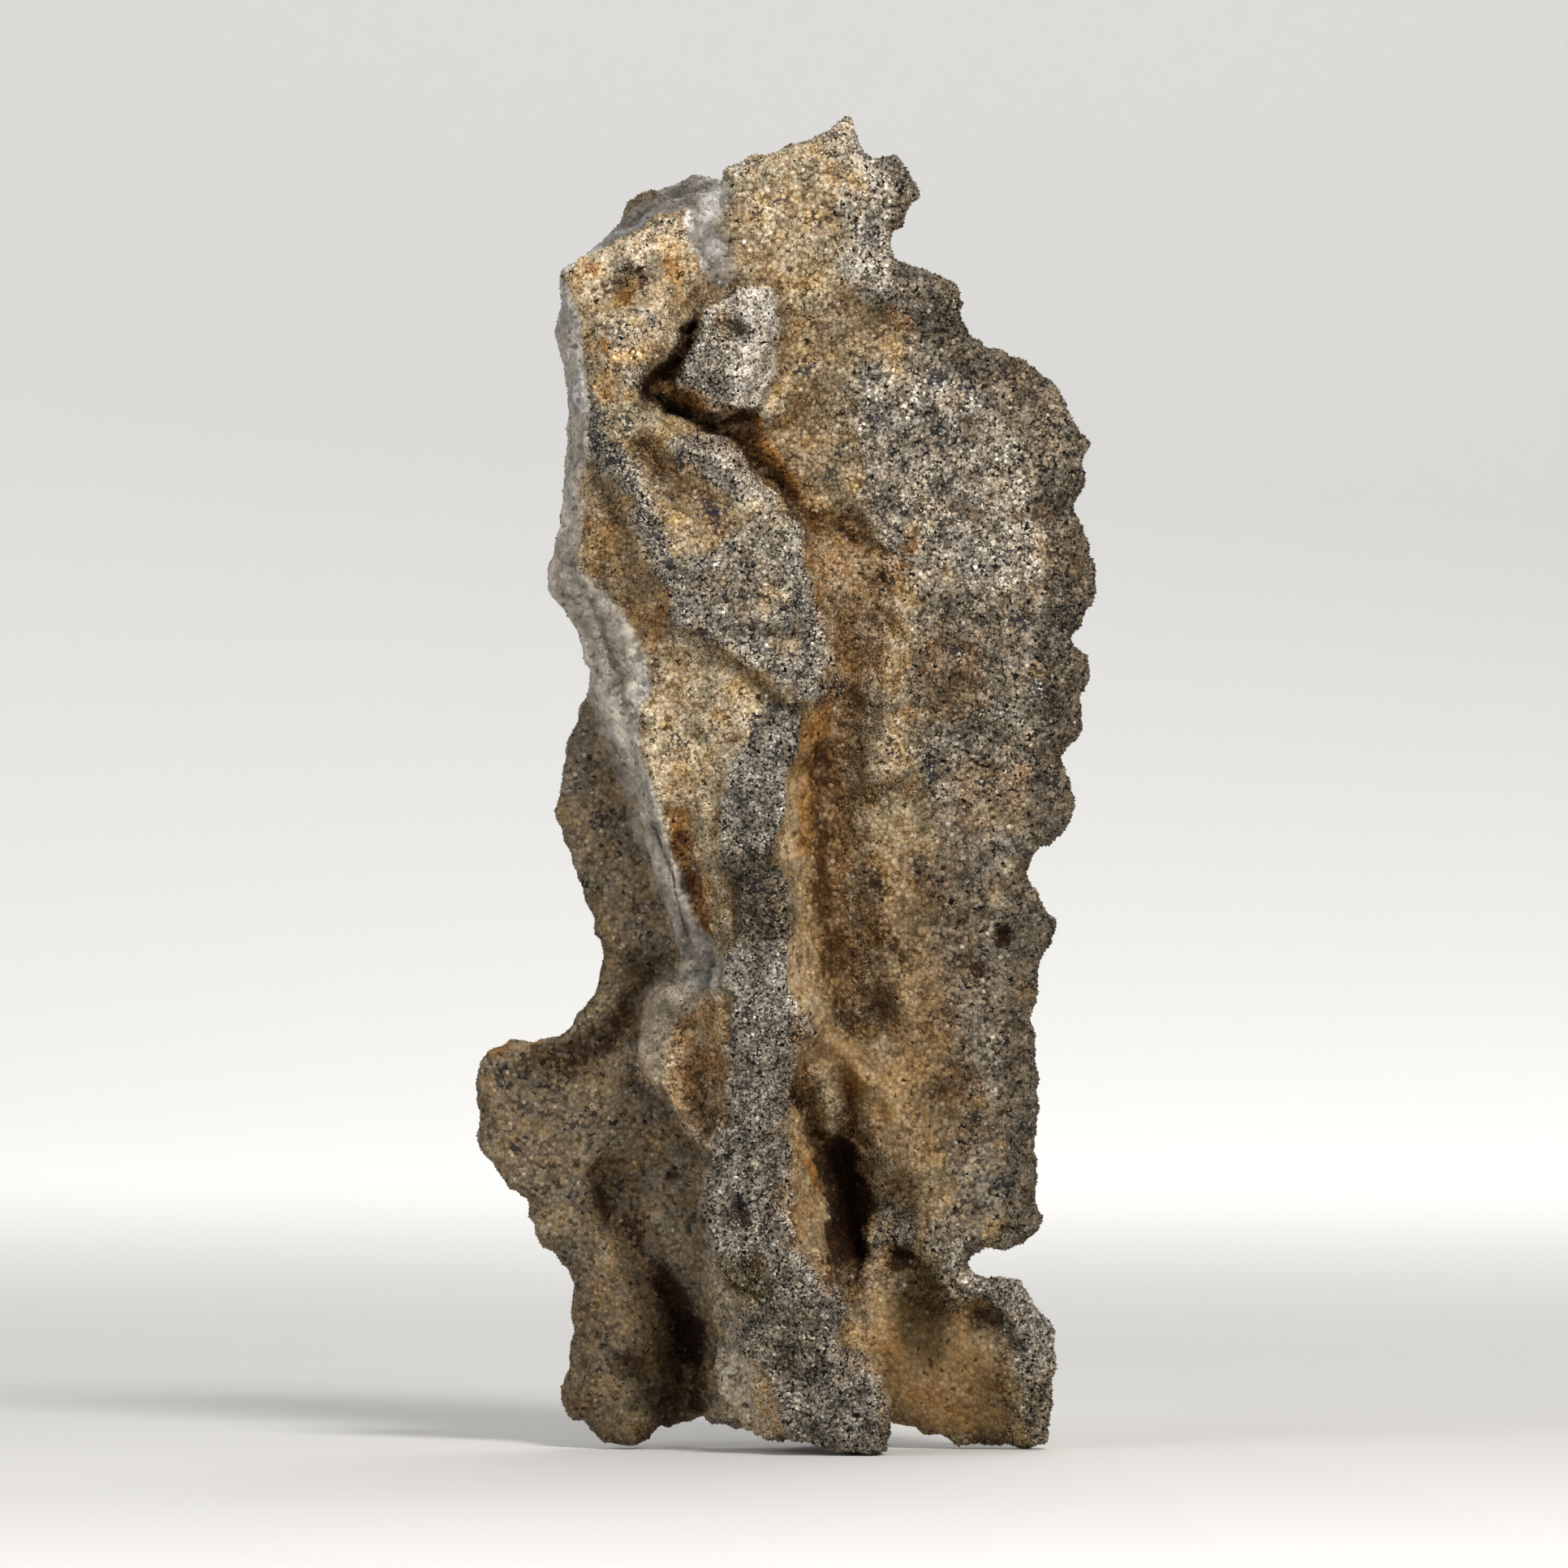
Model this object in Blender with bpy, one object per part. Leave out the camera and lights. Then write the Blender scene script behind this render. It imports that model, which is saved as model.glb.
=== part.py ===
"""A winged fulgurite: sand fused round a lightning strike, standing on its broken lower end.

The stone is one solid. A core holds a front crest, and ragged sheets stand out from it to the
right, to the back left and to the back. The wing on the front left is broken away, which leaves
a long oblique break down that side, a stub below it and a sloping break across the top.

Sizes below are in millimetres as seen from the front: x to the right, y away from the viewer
and z up from the floor. The finished solid is moved so that its box stands centred on the origin.
"""

import math

import bmesh
import bpy
import numpy as np
from mathutils import Vector, noise
from mathutils.bvhtree import BVHTree
from mathutils.geometry import delaunay_2d_cdt

MM = 0.001
FLOOR = 0.0

WING_THICKNESS = 2.5
BACK_WING_THICKNESS = 2.3
RIM_SHARE = 0.5
RIM_WIDTH = 1.6
GRID_STEP = 0.8
RING_STEPS = 8
RING_ROWS = 150
RING_SMOOTHING = 2

FUSE_VOXEL = 0.32
SMOOTH_FACTOR = 0.5
SMOOTH_ROUNDS = 3
LUMP_SIZE = 3.4
LUMP_HEIGHT = 0.35
NODULE_SIZE = 1.9
NODULE_HEIGHT = 0.55
NODULE_MIDDLE = 0.55
LEAST_CUT = 0.05
CLEARANCE = 0.6
LOWEST_TRIM = 1.0
SHORTEST_EDGE = 0.04
TOWARDS_VIEWER = Vector((0.0, -1.0, 0.0))
TRIANGLES = 9700

STONE_COLOUR = (0.40, 0.31, 0.20, 1.0)
STONE_ROUGHNESS = 0.9

# The stone's outline from the front, in turn from its upper left corner.
TOP_EDGE = [
    (-9.8, 51.2), (-9.0, 51.7), (-8.1, 52.4), (-7.4, 53.1), (-7.1, 54.1), (-6.5, 54.65), (-5.6, 55.0),
    (-4.6, 55.15), (-3.8, 55.7),
]
RIGHT_EDGE = [
    (-2.8, 55.7), (-1.0, 56.3), (0.0, 56.65), (1.3, 57.0), (2.1, 57.55), (2.85, 58.1), (3.3, 57.3),
    (3.8, 56.25), (4.6, 56.15), (5.5, 55.85), (5.95, 55.1), (6.1, 54.3), (5.6, 53.8), (5.2, 53.2),
    (4.65, 52.0), (5.4, 51.45), (6.6, 51.3), (7.4, 50.7), (8.05, 50.0), (7.7, 49.2), (7.9, 48.7),
    (8.7, 48.1), (9.5, 47.75), (10.2, 47.6), (11.2, 46.8), (12.1, 46.0), (12.6, 45.2), (12.4, 44.6),
    (13.1, 44.25), (13.5, 43.6), (13.15, 42.9), (13.2, 41.7), (12.7, 41.0), (13.3, 40.2),
    (13.4, 39.3), (13.8, 38.2), (13.85, 37.4), (13.2, 36.4), (12.9, 35.6), (12.65, 35.0),
    (13.3, 34.5), (13.45, 33.9), (13.3, 33.0), (12.95, 32.4), (13.4, 31.8), (13.35, 31.1),
    (12.6, 30.5), (12.35, 29.9), (12.55, 29.0), (12.85, 28.2), (12.8, 27.4), (12.2, 26.6),
    (11.5, 26.35), (11.1, 25.7), (10.8, 25.0), (11.2, 24.1), (12.0, 23.4), (12.4, 22.6),
    (12.1, 22.0), (11.5, 21.5), (11.85, 20.5), (11.6, 19.5), (11.2, 18.95), (11.45, 18.1),
    (11.35, 17.0), (11.15, 16.0), (11.5, 14.9), (11.4, 14.3), (11.0, 13.6), (11.3, 12.6),
    (11.5, 11.6), (11.2, 11.0), (11.5, 10.4), (11.3, 9.8), (11.05, 9.1), (9.8, 8.6), (8.6, 8.75),
    (8.1, 8.3), (8.2, 7.8), (8.8, 7.6), (10.2, 7.65), (10.75, 6.9), (11.3, 5.9), (12.0, 5.0),
    (12.05, 4.2), (11.95, 3.2), (12.3, 2.3), (12.1, 1.7), (11.7, 1.0), (11.5, 0.0),
]
FRONT_FOOT_EDGE = [(9.5, 0.2), (8.0, 0.65), (6.6, 0.85), (4.8, 0.85), (4.2, 0.0), (1.2, 0.0), (-0.8, 0.6), (-2.3, 0.8)]
LEFT_EDGE = [
    (-2.8, 1.4), (-3.8, 1.1), (-4.8, 0.5), (-6.0, 0.0), (-7.4, 0.0), (-8.0, 0.85), (-9.4, 1.35),
    (-9.6, 2.2), (-9.6, 3.2), (-9.4, 4.3), (-9.25, 6.2), (-9.3, 7.8), (-10.0, 8.35), (-10.75, 9.0),
    (-10.95, 10.0), (-10.9, 10.8), (-11.7, 11.05), (-12.3, 11.7), (-12.9, 12.4), (-13.45, 12.8),
    (-13.35, 13.8), (-13.45, 14.8), (-13.75, 15.6), (-13.65, 16.3), (-13.2, 16.9), (-12.9, 17.6),
    (-11.6, 17.9), (-9.8, 18.25), (-9.1, 18.85), (-8.35, 19.4), (-8.0, 20.4), (-7.9, 21.6),
    (-8.3, 22.4), (-8.3, 23.5), (-8.8, 24.1), (-8.95, 25.0), (-9.4, 25.7), (-9.6, 26.7),
    (-10.25, 27.3), (-10.2, 28.0), (-9.8, 28.9), (-9.45, 30.7), (-9.1, 31.8), (-8.6, 32.8),
]
BREAK_EDGE = [
    (-8.5, 33.6), (-8.9, 34.8), (-9.6, 35.8), (-10.2, 36.7), (-10.5, 37.5), (-10.2, 38.4),
    (-10.05, 39.3), (-9.75, 40.1), (-9.9, 41.2), (-9.55, 41.9), (-9.5, 43.2), (-9.35, 44.6),
    (-9.45, 46.8), (-9.8, 47.6), (-9.95, 48.6), (-9.65, 49.6), (-9.65, 50.4),
]
OUTLINE = TOP_EDGE + RIGHT_EDGE + FRONT_FOOT_EDGE + LEFT_EDGE + BREAK_EDGE

# The right wing ends inside the core, below and to the left.
RIGHT_WING = RIGHT_EDGE + [
    (11.5, -0.4), (9.0, -0.4), (7.2, 0.7), (4.6, 0.8), (2.0, 1.2), (0.0, 3.0), (-1.0, 20.0),
    (-1.5, 40.0), (-3.0, 50.0),
]

# How far back the right wing's middle lies: one row for each height, one column for each x.
RIGHT_X = (-3.0, 1.0, 3.0, 6.0, 9.0, 13.5)
RIGHT_DEPTH = [
    (0.0, (1.0, 1.0, 1.6, 2.2, 1.8, 0.8)),
    (10.0, (1.0, 1.2, 2.4, 1.2, 0.8, 0.2)),
    (20.0, (1.0, 0.8, 1.4, 0.5, -0.4, -1.2)),
    (30.0, (0.6, 0.4, 0.8, -0.6, -1.6, -2.6)),
    (38.0, (0.0, -0.9, -1.1, -1.6, -2.6, -3.4)),
    (46.0, (-1.0, -1.4, -1.6, -2.0, -2.6, -3.4)),
    (58.0, (-1.8, -1.6, -1.6, -1.8, -2.0, -2.4)),
]

# Folds in the right wing: a line of (x, z), how far it stands towards the viewer, and its width.
RIGHT_FOLDS = [
    ([(5.7, 41.0), (5.7, 38.0), (5.5, 36.0), (5.0, 33.0), (4.3, 30.0)], 0.9, 1.0),
    ([(3.0, 40.0), (3.4, 37.0), (3.2, 34.0), (2.4, 30.0), (2.1, 26.0), (2.8, 22.0), (3.3, 19.0)], -1.0, 1.0),
    ([(2.4, 17.8), (4.2, 16.4), (5.4, 14.6), (5.8, 12.0)], 1.5, 0.9),
    ([(3.4, 19.0), (5.4, 17.6), (6.9, 15.6), (7.5, 13.4)], -0.8, 0.9),
    ([(2.7, 13.0), (2.9, 11.0), (2.7, 8.6)], -1.7, 0.9),
    ([(6.2, 7.4), (6.2, 4.8)], -1.1, 1.0),
    ([(7.4, 5.4), (9.0, 5.4)], -0.8, 0.6),
    ([(9.9, 7.0), (11.2, 4.6), (11.4, 2.0)], 0.7, 1.0),
    ([(3.2, 51.2), (5.4, 50.8), (7.4, 50.2)], 0.8, 0.8),
    ([(3.4, 49.2), (5.2, 48.6)], -0.6, 0.8),
    ([(0.8, 48.6), (1.5, 46.4), (0.6, 44.2)], -0.5, 0.9),
    ([(8.6, 46.4), (10.2, 43.0), (10.4, 38.0)], 0.5, 1.6),
    ([(7.6, 32.8), (9.4, 30.4), (8.6, 27.4)], -0.4, 0.9),
    ([(6.8, 24.6), (8.2, 22.4), (8.4, 19.4)], -0.4, 0.9),
]

# Rounded lobes along the right wing's edge: x, z, radius.
RIGHT_LOBES = [
    (4.85, 54.75, 0.95), (6.8, 50.1, 0.95), (11.5, 45.3, 0.85), (12.45, 43.5, 0.9), (12.2, 42.0, 0.8),
    (12.45, 39.4, 0.85), (12.65, 37.9, 0.95), (12.3, 33.9, 0.9), (12.35, 31.6, 0.85),
    (11.65, 27.9, 0.95), (11.25, 22.65, 0.95), (10.7, 20.3, 0.9), (10.4, 17.9, 0.85),
    (10.35, 14.6, 0.85), (10.45, 11.8, 0.85), (10.4, 10.3, 0.85), (11.0, 4.6, 0.9), (11.1, 2.3, 0.95),
]

# The back left wing also ends inside the core. Its depth and folds are given in the same way.
LEFT_WING = LEFT_EDGE + [
    (-8.2, 35.0), (-8.4, 39.0), (-8.7, 44.0), (-8.6, 49.0), (-8.0, 51.8), (-7.4, 52.9), (-7.1, 54.1),
    (-6.5, 54.65), (-5.6, 55.0), (-4.6, 55.15), (-3.8, 55.6), (-1.0, 54.0), (-1.0, 30.0), (-1.0, 10.0),
    (-1.5, 1.35),
]
LEFT_X = (-14.0, -11.0, -8.0, -5.0, -2.0)
LEFT_DEPTH = [
    (0.0, (4.8, 4.4, 3.6, 3.6, 2.6)),
    (6.0, (5.0, 4.6, 4.0, 3.6, 2.4)),
    (12.0, (5.4, 4.8, 4.2, 3.4, 2.2)),
    (18.0, (5.4, 4.8, 4.2, 3.4, 2.2)),
    (26.0, (5.4, 4.8, 4.0, 3.2, 2.2)),
    (34.0, (4.8, 4.2, 3.6, 2.8, 2.2)),
    (45.0, (4.0, 3.6, 3.0, 2.4, 2.0)),
    (55.0, (3.2, 2.8, 2.2, 1.8, 1.6)),
]
LEFT_FOLDS = [
    ([(-6.0, 21.0), (-6.9, 18.8), (-8.2, 17.4), (-10.2, 16.5)], -1.3, 0.9),
    ([(-4.1, 1.0), (-4.2, 4.6), (-5.2, 7.0), (-6.5, 8.8), (-7.2, 11.6)], -1.4, 0.8),
    ([(-7.3, -1.0), (-7.4, 2.0), (-6.9, 5.0)], 2.2, 1.5),
    ([(-13.0, 17.2), (-11.0, 17.7), (-9.2, 18.2)], 0.9, 0.7),
    ([(-9.4, 30.0), (-8.8, 25.0), (-7.6, 21.4)], 0.5, 1.0),
    ([(-12.6, 15.6), (-11.8, 13.2), (-9.8, 10.2)], 0.6, 1.2),
    ([(-8.0, 12.4), (-8.9, 9.6)], 0.5, 0.8),
]
LEFT_LOBES = [
    (-12.7, 15.9, 1.1), (-12.45, 17.1, 0.75), (-12.6, 13.4, 0.95), (-9.4, 27.8, 0.9), (-9.0, 25.0, 0.6),
    (-10.1, 9.9, 0.95), (-8.8, 3.0, 1.0), (-8.85, 5.4, 0.7), (-6.9, 1.0, 1.3),
]

# The wing at the back, seen from the side: (y, z), and how it leans to x.
BACK_WING = [
    (1.0, 54.3), (3.2, 54.0), (4.6, 52.6), (4.2, 51.0), (5.2, 49.4), (5.9, 47.4), (5.2, 45.6),
    (6.3, 43.6), (6.9, 41.6), (6.4, 39.8), (7.4, 37.8), (7.7, 35.6), (6.8, 34.0), (7.3, 31.6),
    (8.1, 29.6), (7.8, 27.2), (8.4, 25.0), (8.9, 22.4), (8.0, 20.8), (8.5, 18.6), (9.2, 16.2),
    (8.8, 14.0), (9.5, 12.0), (9.7, 9.4), (8.9, 7.6), (9.4, 5.4), (9.8, 3.4), (9.2, 1.6),
    (9.1, -0.3), (5.6, -0.3), (4.4, 0.6), (1.0, 1.2),
]
BACK_HEIGHTS = (0.0, 15.0, 30.0, 42.0, 54.0)
BACK_ROOT_X = (0.8, 0.2, -1.2, -2.6, -4.2)
BACK_LEAN = (0.42, 0.30, 0.10, 0.16, 0.10)
BACK_FOLDS = [
    ([(6.5, 0.0), (6.0, 12.0), (6.8, 22.0), (5.4, 34.0)], 0.9, 1.2),
    ([(4.4, 6.0), (7.2, 15.0), (4.6, 27.0), (5.2, 44.0)], -0.8, 1.1),
]
BACK_LOBES = [
    (4.4, 48.2, 1.0), (6.0, 42.4, 1.0), (6.7, 36.6, 1.1), (7.1, 29.4, 1.1), (7.9, 23.2, 1.1),
    (8.2, 16.6, 1.1), (8.7, 10.6, 1.1), (8.8, 4.4, 1.1),
]

# Lines that run up the core, each as (z, x, y). Together they ring it, in the order given.
CORE_LINES = {
    "break outer edge": [
        (1.3, -3.1, 1.5), (5.0, -3.3, 1.5), (10.0, -3.4, 1.0), (15.0, -4.0, 0.8), (19.0, -4.6, 0.3),
        (21.0, -4.7, -0.3), (23.0, -5.2, -0.8), (25.0, -5.8, -1.0), (27.0, -6.4, -1.0),
        (29.0, -7.0, -1.0), (31.0, -7.9, -0.9), (33.5, -8.9, -0.6), (35.0, -9.4, -0.5),
        (36.5, -10.4, -0.5), (37.6, -10.9, -0.5), (38.6, -10.6, -0.3), (40.4, -9.9, 0.2),
        (41.2, -10.2, 0.2), (43.0, -9.85, 0.2), (44.0, -9.6, 0.2), (46.0, -9.65, 0.1),
        (48.2, -10.2, -0.2), (49.0, -10.1, -0.4), (50.0, -9.8, -0.8), (51.2, -10.0, -1.6),
    ],
    "break inner edge": [
        (0.9, -2.4, -0.5), (4.0, -2.6, -0.5), (8.0, -2.7, -1.5), (13.0, -3.0, -1.8), (17.0, -3.8, -1.8),
        (20.0, -4.0, -1.8), (21.0, -3.4, -2.2), (24.0, -4.1, -2.8), (26.0, -4.7, -3.1),
        (28.0, -5.5, -3.1), (29.0, -6.1, -3.1), (30.5, -6.4, -3.1), (33.0, -6.1, -3.0),
        (34.5, -6.2, -3.0), (36.0, -6.9, -3.0), (37.0, -7.8, -2.9), (38.0, -9.1, -2.8),
        (42.0, -9.1, -2.8), (45.0, -9.0, -2.9), (48.0, -9.1, -3.2), (50.0, -9.3, -3.4),
        (51.3, -9.3, -3.0),
    ],
    "left flank": [
        (0.6, -1.3, -2.8), (4.0, -1.8, -3.2), (8.0, -2.4, -4.0), (13.0, -2.7, -4.2), (17.0, -3.2, -3.4),
        (19.6, -3.4, -3.2), (21.0, -2.9, -2.6), (22.0, -3.1, -2.4), (24.0, -3.6, -2.2),
        (26.0, -4.0, -2.3), (28.0, -4.5, -3.0), (30.0, -4.5, -3.7), (33.0, -4.2, -4.0),
        (36.0, -5.2, -4.0), (38.0, -7.0, -3.7), (40.0, -7.3, -3.8), (43.0, -7.6, -4.1),
        (46.0, -8.2, -4.6), (49.0, -8.0, -4.9), (51.0, -7.6, -4.7), (52.4, -7.2, -4.0),
    ],
    "crest left": [
        (0.2, 0.6, -7.2), (1.5, 0.0, -7.8), (3.0, -0.6, -8.0), (4.2, -1.8, -7.8), (6.0, -1.9, -7.6),
        (7.2, -2.4, -7.4), (8.5, -3.1, -7.2), (10.5, -3.7, -7.0), (11.3, -3.8, -7.0),
        (12.2, -3.3, -7.0), (13.5, -3.2, -6.8), (15.5, -2.5, -6.6), (18.0, -2.5, -6.4),
        (20.0, -2.7, -6.1), (22.0, -2.2, -5.9), (24.0, -2.6, -5.7), (26.0, -3.0, -5.5),
        (28.0, -2.7, -5.4), (30.0, -2.2, -5.3), (32.0, -1.7, -5.2), (33.5, -1.0, -5.2),
        (34.5, -2.0, -5.3), (36.0, -4.0, -5.4), (38.0, -4.9, -5.4), (40.0, -5.8, -5.3),
        (42.0, -6.4, -5.2), (44.0, -7.0, -5.2), (46.0, -7.4, -5.4), (48.0, -7.0, -5.6),
        (50.0, -6.4, -5.4), (52.0, -6.0, -5.0), (53.5, -5.9, -4.2),
    ],
    "crest right": [
        (-0.3, 4.4, -7.2), (0.9, 4.75, -7.6), (2.0, 4.65, -7.8), (3.0, 4.2, -7.8), (4.0, 3.8, -7.8),
        (5.0, 2.6, -7.6), (6.2, 2.65, -7.4), (7.0, 2.3, -7.3), (7.8, 1.7, -7.2), (8.5, 1.1, -7.0),
        (10.0, 0.3, -6.9), (14.0, 0.3, -6.7), (16.3, 0.0, -6.5), (17.2, 0.7, -6.4), (18.2, 1.25, -6.4),
        (19.3, 0.85, -6.3), (20.2, 0.2, -6.2), (21.5, 0.0, -6.1), (22.8, 0.25, -6.1),
        (24.0, 0.65, -6.1), (24.8, 0.45, -6.1), (25.6, -0.5, -6.0), (26.6, -0.4, -6.0),
        (28.2, 0.25, -6.0), (29.0, 0.1, -5.9), (30.0, 0.75, -5.9), (31.0, 0.95, -5.9),
        (32.0, 0.85, -5.9), (32.7, 1.3, -6.0), (33.1, 2.2, -6.1), (34.0, 2.45, -6.2), (35.0, 2.2, -6.2),
        (36.5, 1.7, -6.1), (38.0, 1.2, -6.0), (39.4, 1.05, -6.0), (40.1, 0.6, -5.9), (41.0, 0.05, -5.8),
        (42.0, -0.9, -5.7), (43.0, -1.7, -5.6), (43.8, -2.5, -5.5), (44.2, -3.5, -5.4),
        (44.6, -4.8, -5.4), (45.3, -6.1, -5.4), (46.1, -6.1, -5.4), (46.8, -5.3, -5.3),
        (48.0, -4.9, -5.0), (49.0, -4.4, -4.6), (50.2, -3.9, -4.1), (51.5, -3.8, -3.8),
        (53.7, -4.2, -3.2),
    ],
    "right valley": [
        (0.9, 5.0, 0.0), (3.0, 4.6, 0.5), (5.0, 3.6, 1.0), (7.0, 2.8, 1.0), (10.0, 2.3, 1.2),
        (13.0, 1.9, 1.0), (15.0, 1.2, 0.5), (17.0, 1.6, 0.1), (20.0, 2.2, 0.4), (25.0, 1.9, 0.6),
        (30.0, 2.0, 0.6), (34.0, 2.6, -0.4), (38.0, 1.8, -1.0), (41.0, 0.6, -1.2), (43.0, -1.2, -1.0),
        (45.0, -3.0, -0.8), (47.0, -4.6, -0.6), (49.0, -3.6, -0.9), (51.0, -2.6, -1.4),
        (55.2, -2.6, -1.4),
    ],
    "back right": [(1.0, 4.0, 3.0), (20.0, 3.0, 3.2), (40.0, 2.0, 3.0), (50.0, -1.0, 2.4), (55.8, -2.4, 1.8)],
    "back": [(1.0, 0.5, 4.2), (25.0, -1.0, 4.2), (45.0, -3.5, 3.4), (55.7, -4.0, 2.2)],
    "back left": [(1.0, -3.2, 3.6), (25.0, -4.5, 3.4), (45.0, -7.0, 3.0), (55.0, -6.4, 2.0)],
}

# What is left of the broken wing below the break: its outline, and its two depths.
STUB = [
    (-2.0, 20.3), (-5.2, 20.7), (-6.0, 19.5), (-6.35, 17.8), (-6.45, 16.3), (-5.7, 15.8), (-5.0, 15.3),
    (-4.95, 14.5), (-4.3, 14.0), (-3.9, 13.2), (-2.0, 12.8),
]
STUB_TIP_Y = -1.6
STUB_LEAN = -0.55
STUB_THICKNESS = 2.6

# Loose-looking lumps fused to the front, each as its centre and its three radii.
LUMPS = [
    ((-2.3, -1.9, 47.3), (2.1, 2.9, 2.8)),
    ((-1.7, -1.9, 49.0), (1.5, 2.4, 1.5)),
    ((-2.6, -2.0, 45.8), (1.4, 2.4, 1.2)),
    ((-0.7, -5.8, 24.0), (1.4, 1.2, 1.6)),
    ((-1.0, -5.3, 28.7), (1.5, 1.2, 1.9)),
    ((0.9, -5.7, 34.0), (1.4, 1.1, 1.4)),
    ((-0.3, -5.7, 37.6), (1.4, 1.2, 2.1)),
    ((-3.6, -5.3, 39.4), (1.8, 1.0, 2.0)),
    ((0.0, -5.9, 18.5), (1.2, 1.2, 1.5)),
    ((-2.5, -6.4, 11.2), (1.25, 1.2, 1.6)),
    ((-1.1, -6.4, 14.6), (1.5, 1.1, 1.7)),
    ((1.1, -6.6, 6.4), (1.4, 1.3, 1.5)),
    ((2.7, -6.9, 3.4), (1.6, 1.3, 1.7)),
    ((-0.5, -7.0, 5.1), (1.3, 1.2, 1.3)),
    ((3.1, -6.7, 1.2), (1.5, 1.4, 1.3)),
]

# Crevices and ridges in the front: a line of (x, z), half its width, and how far it is cut back.
RELIEF = [
    ([(-3.7, 49.9), (-4.2, 48.9), (-4.8, 47.6), (-5.4, 46.6)], 0.4, 1.6),
    ([(-5.3, 46.4), (-5.6, 45.7), (-4.7, 45.0), (-3.4, 44.3), (-1.8, 44.5)], 0.5, 2.2),
    ([(-3.4, 44.1), (-2.4, 43.8), (-1.5, 42.9), (-0.5, 42.0), (0.4, 41.1)], 0.35, 1.0),
    ([(-0.4, 50.0), (-0.1, 48.4), (-0.2, 46.6), (-1.0, 45.5)], 0.4, 0.2),
    ([(-8.3, 43.8), (-7.0, 42.5), (-6.2, 41.5), (-5.8, 39.5), (-5.0, 38.0), (-4.3, 36.5)], 0.9, -0.6),
    ([(-4.3, 36.5), (-2.8, 36.0), (-1.5, 35.0), (0.0, 33.8), (1.6, 33.4)], 0.9, -0.4),
    ([(-5.8, 43.4), (-4.8, 42.3)], 0.8, 0.7),
    ([(-3.6, 41.8), (-2.8, 40.2)], 1.0, 0.6),
    ([(-7.6, 39.8), (-6.9, 37.6), (-5.6, 35.6)], 0.9, 0.3),
    ([(-5.2, 34.2), (-3.9, 31.6), (-3.4, 28.6)], 1.2, 0.5),
    ([(-1.2, 30.0), (-0.9, 24.0), (-0.8, 18.0), (-1.5, 12.0), (-1.4, 9.0)], 1.1, -0.5),
    ([(-1.4, 9.0), (0.2, 7.0), (1.6, 4.5), (2.8, 2.0)], 1.2, -0.5),
    ([(-4.1, 2.0), (-4.0, 4.8), (-4.5, 6.2), (-5.4, 7.4)], 0.5, 1.3),
    ([(-6.5, 8.5), (-7.3, 10.2), (-7.7, 11.9)], 0.6, 0.6),
    ([(-5.6, 19.2), (-6.8, 18.6), (-7.6, 17.6), (-9.0, 16.8)], 0.4, 0.7),
    ([(0.8, 15.4), (1.5, 13.6), (2.5, 12.7), (2.8, 11.4), (2.8, 9.4), (2.8, 7.2)], 0.5, 1.3),
    ([(-4.5, 27.2), (-4.2, 25.4), (-3.7, 23.6), (-3.3, 22.4)], 0.45, 0.7),
    ([(-7.4, 34.6), (-6.9, 32.0), (-6.8, 30.4), (-5.7, 27.2), (-5.0, 24.4), (-4.5, 22.6)], 0.3, 0.4),
    ([(-4.4, 18.6), (-3.4, 16.4), (-3.3, 14.6)], 0.8, 0.7),
    ([(2.0, 30.0), (2.3, 27.5), (1.9, 25.0), (2.6, 22.5), (2.7, 19.4)], 0.5, 0.7),
]

# Hollows in the front, each as x, z, radius and depth.
HOLLOWS = [
    (-7.0, 50.7, 1.3, 0.5), (-1.9, 48.5, 0.6, 0.6), (-5.5, 42.7, 0.8, 0.7), (-3.2, 41.0, 1.1, 0.6),
    (-2.0, 10.4, 0.6, 0.5), (9.5, 22.3, 0.5, 0.6), (2.9, 39.9, 0.6, 0.6), (11.3, 40.4, 0.6, 0.5),
    (0.8, 15.2, 0.6, 0.8), (1.5, 13.7, 0.6, 0.8), (5.2, 8.3, 0.7, 0.8), (8.7, 5.5, 0.6, 0.6),
    (-6.6, 3.7, 0.9, 0.5), (-1.6, 23.4, 0.7, 0.4), (-4.0, 24.6, 0.7, 0.6), (6.1, 5.6, 1.0, 0.6),
]


def distance_to_line(x, z, line):
    """How far each (x, z) lies from a line of points."""
    nearest = np.full(np.shape(x), np.inf)
    for (x0, z0), (x1, z1) in zip(line[:-1], line[1:]):
        dx, dz = x1 - x0, z1 - z0
        share = np.clip(((x - x0) * dx + (z - z0) * dz) / (dx * dx + dz * dz), 0.0, 1.0)
        nearest = np.minimum(nearest, np.hypot(x - x0 - share * dx, z - z0 - share * dz))
    return nearest


def nearest_on(point, ring):
    """The place on a ring of points that is nearest to a point."""
    places = []
    for start, end in zip(ring, ring[1:] + ring[:1]):
        start, end = Vector(start), Vector(end)
        along = end - start
        share = min(max((point - start).dot(along) / along.length_squared, 0.0), 1.0)
        places.append(start + along * share)
    return min(places, key=lambda place: (place - point).length)


def inside(x, z, outline):
    """Whether each (x, z) lies inside a closed outline."""
    found = np.zeros(np.shape(x), bool)
    for (x0, z0), (x1, z1) in zip(outline, outline[1:] + outline[:1]):
        if z0 == z1:
            continue
        crosses = (z0 > z) != (z1 > z)
        found ^= crosses & (x < x0 + (z - z0) * (x1 - x0) / (z1 - z0))
    return found


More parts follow.
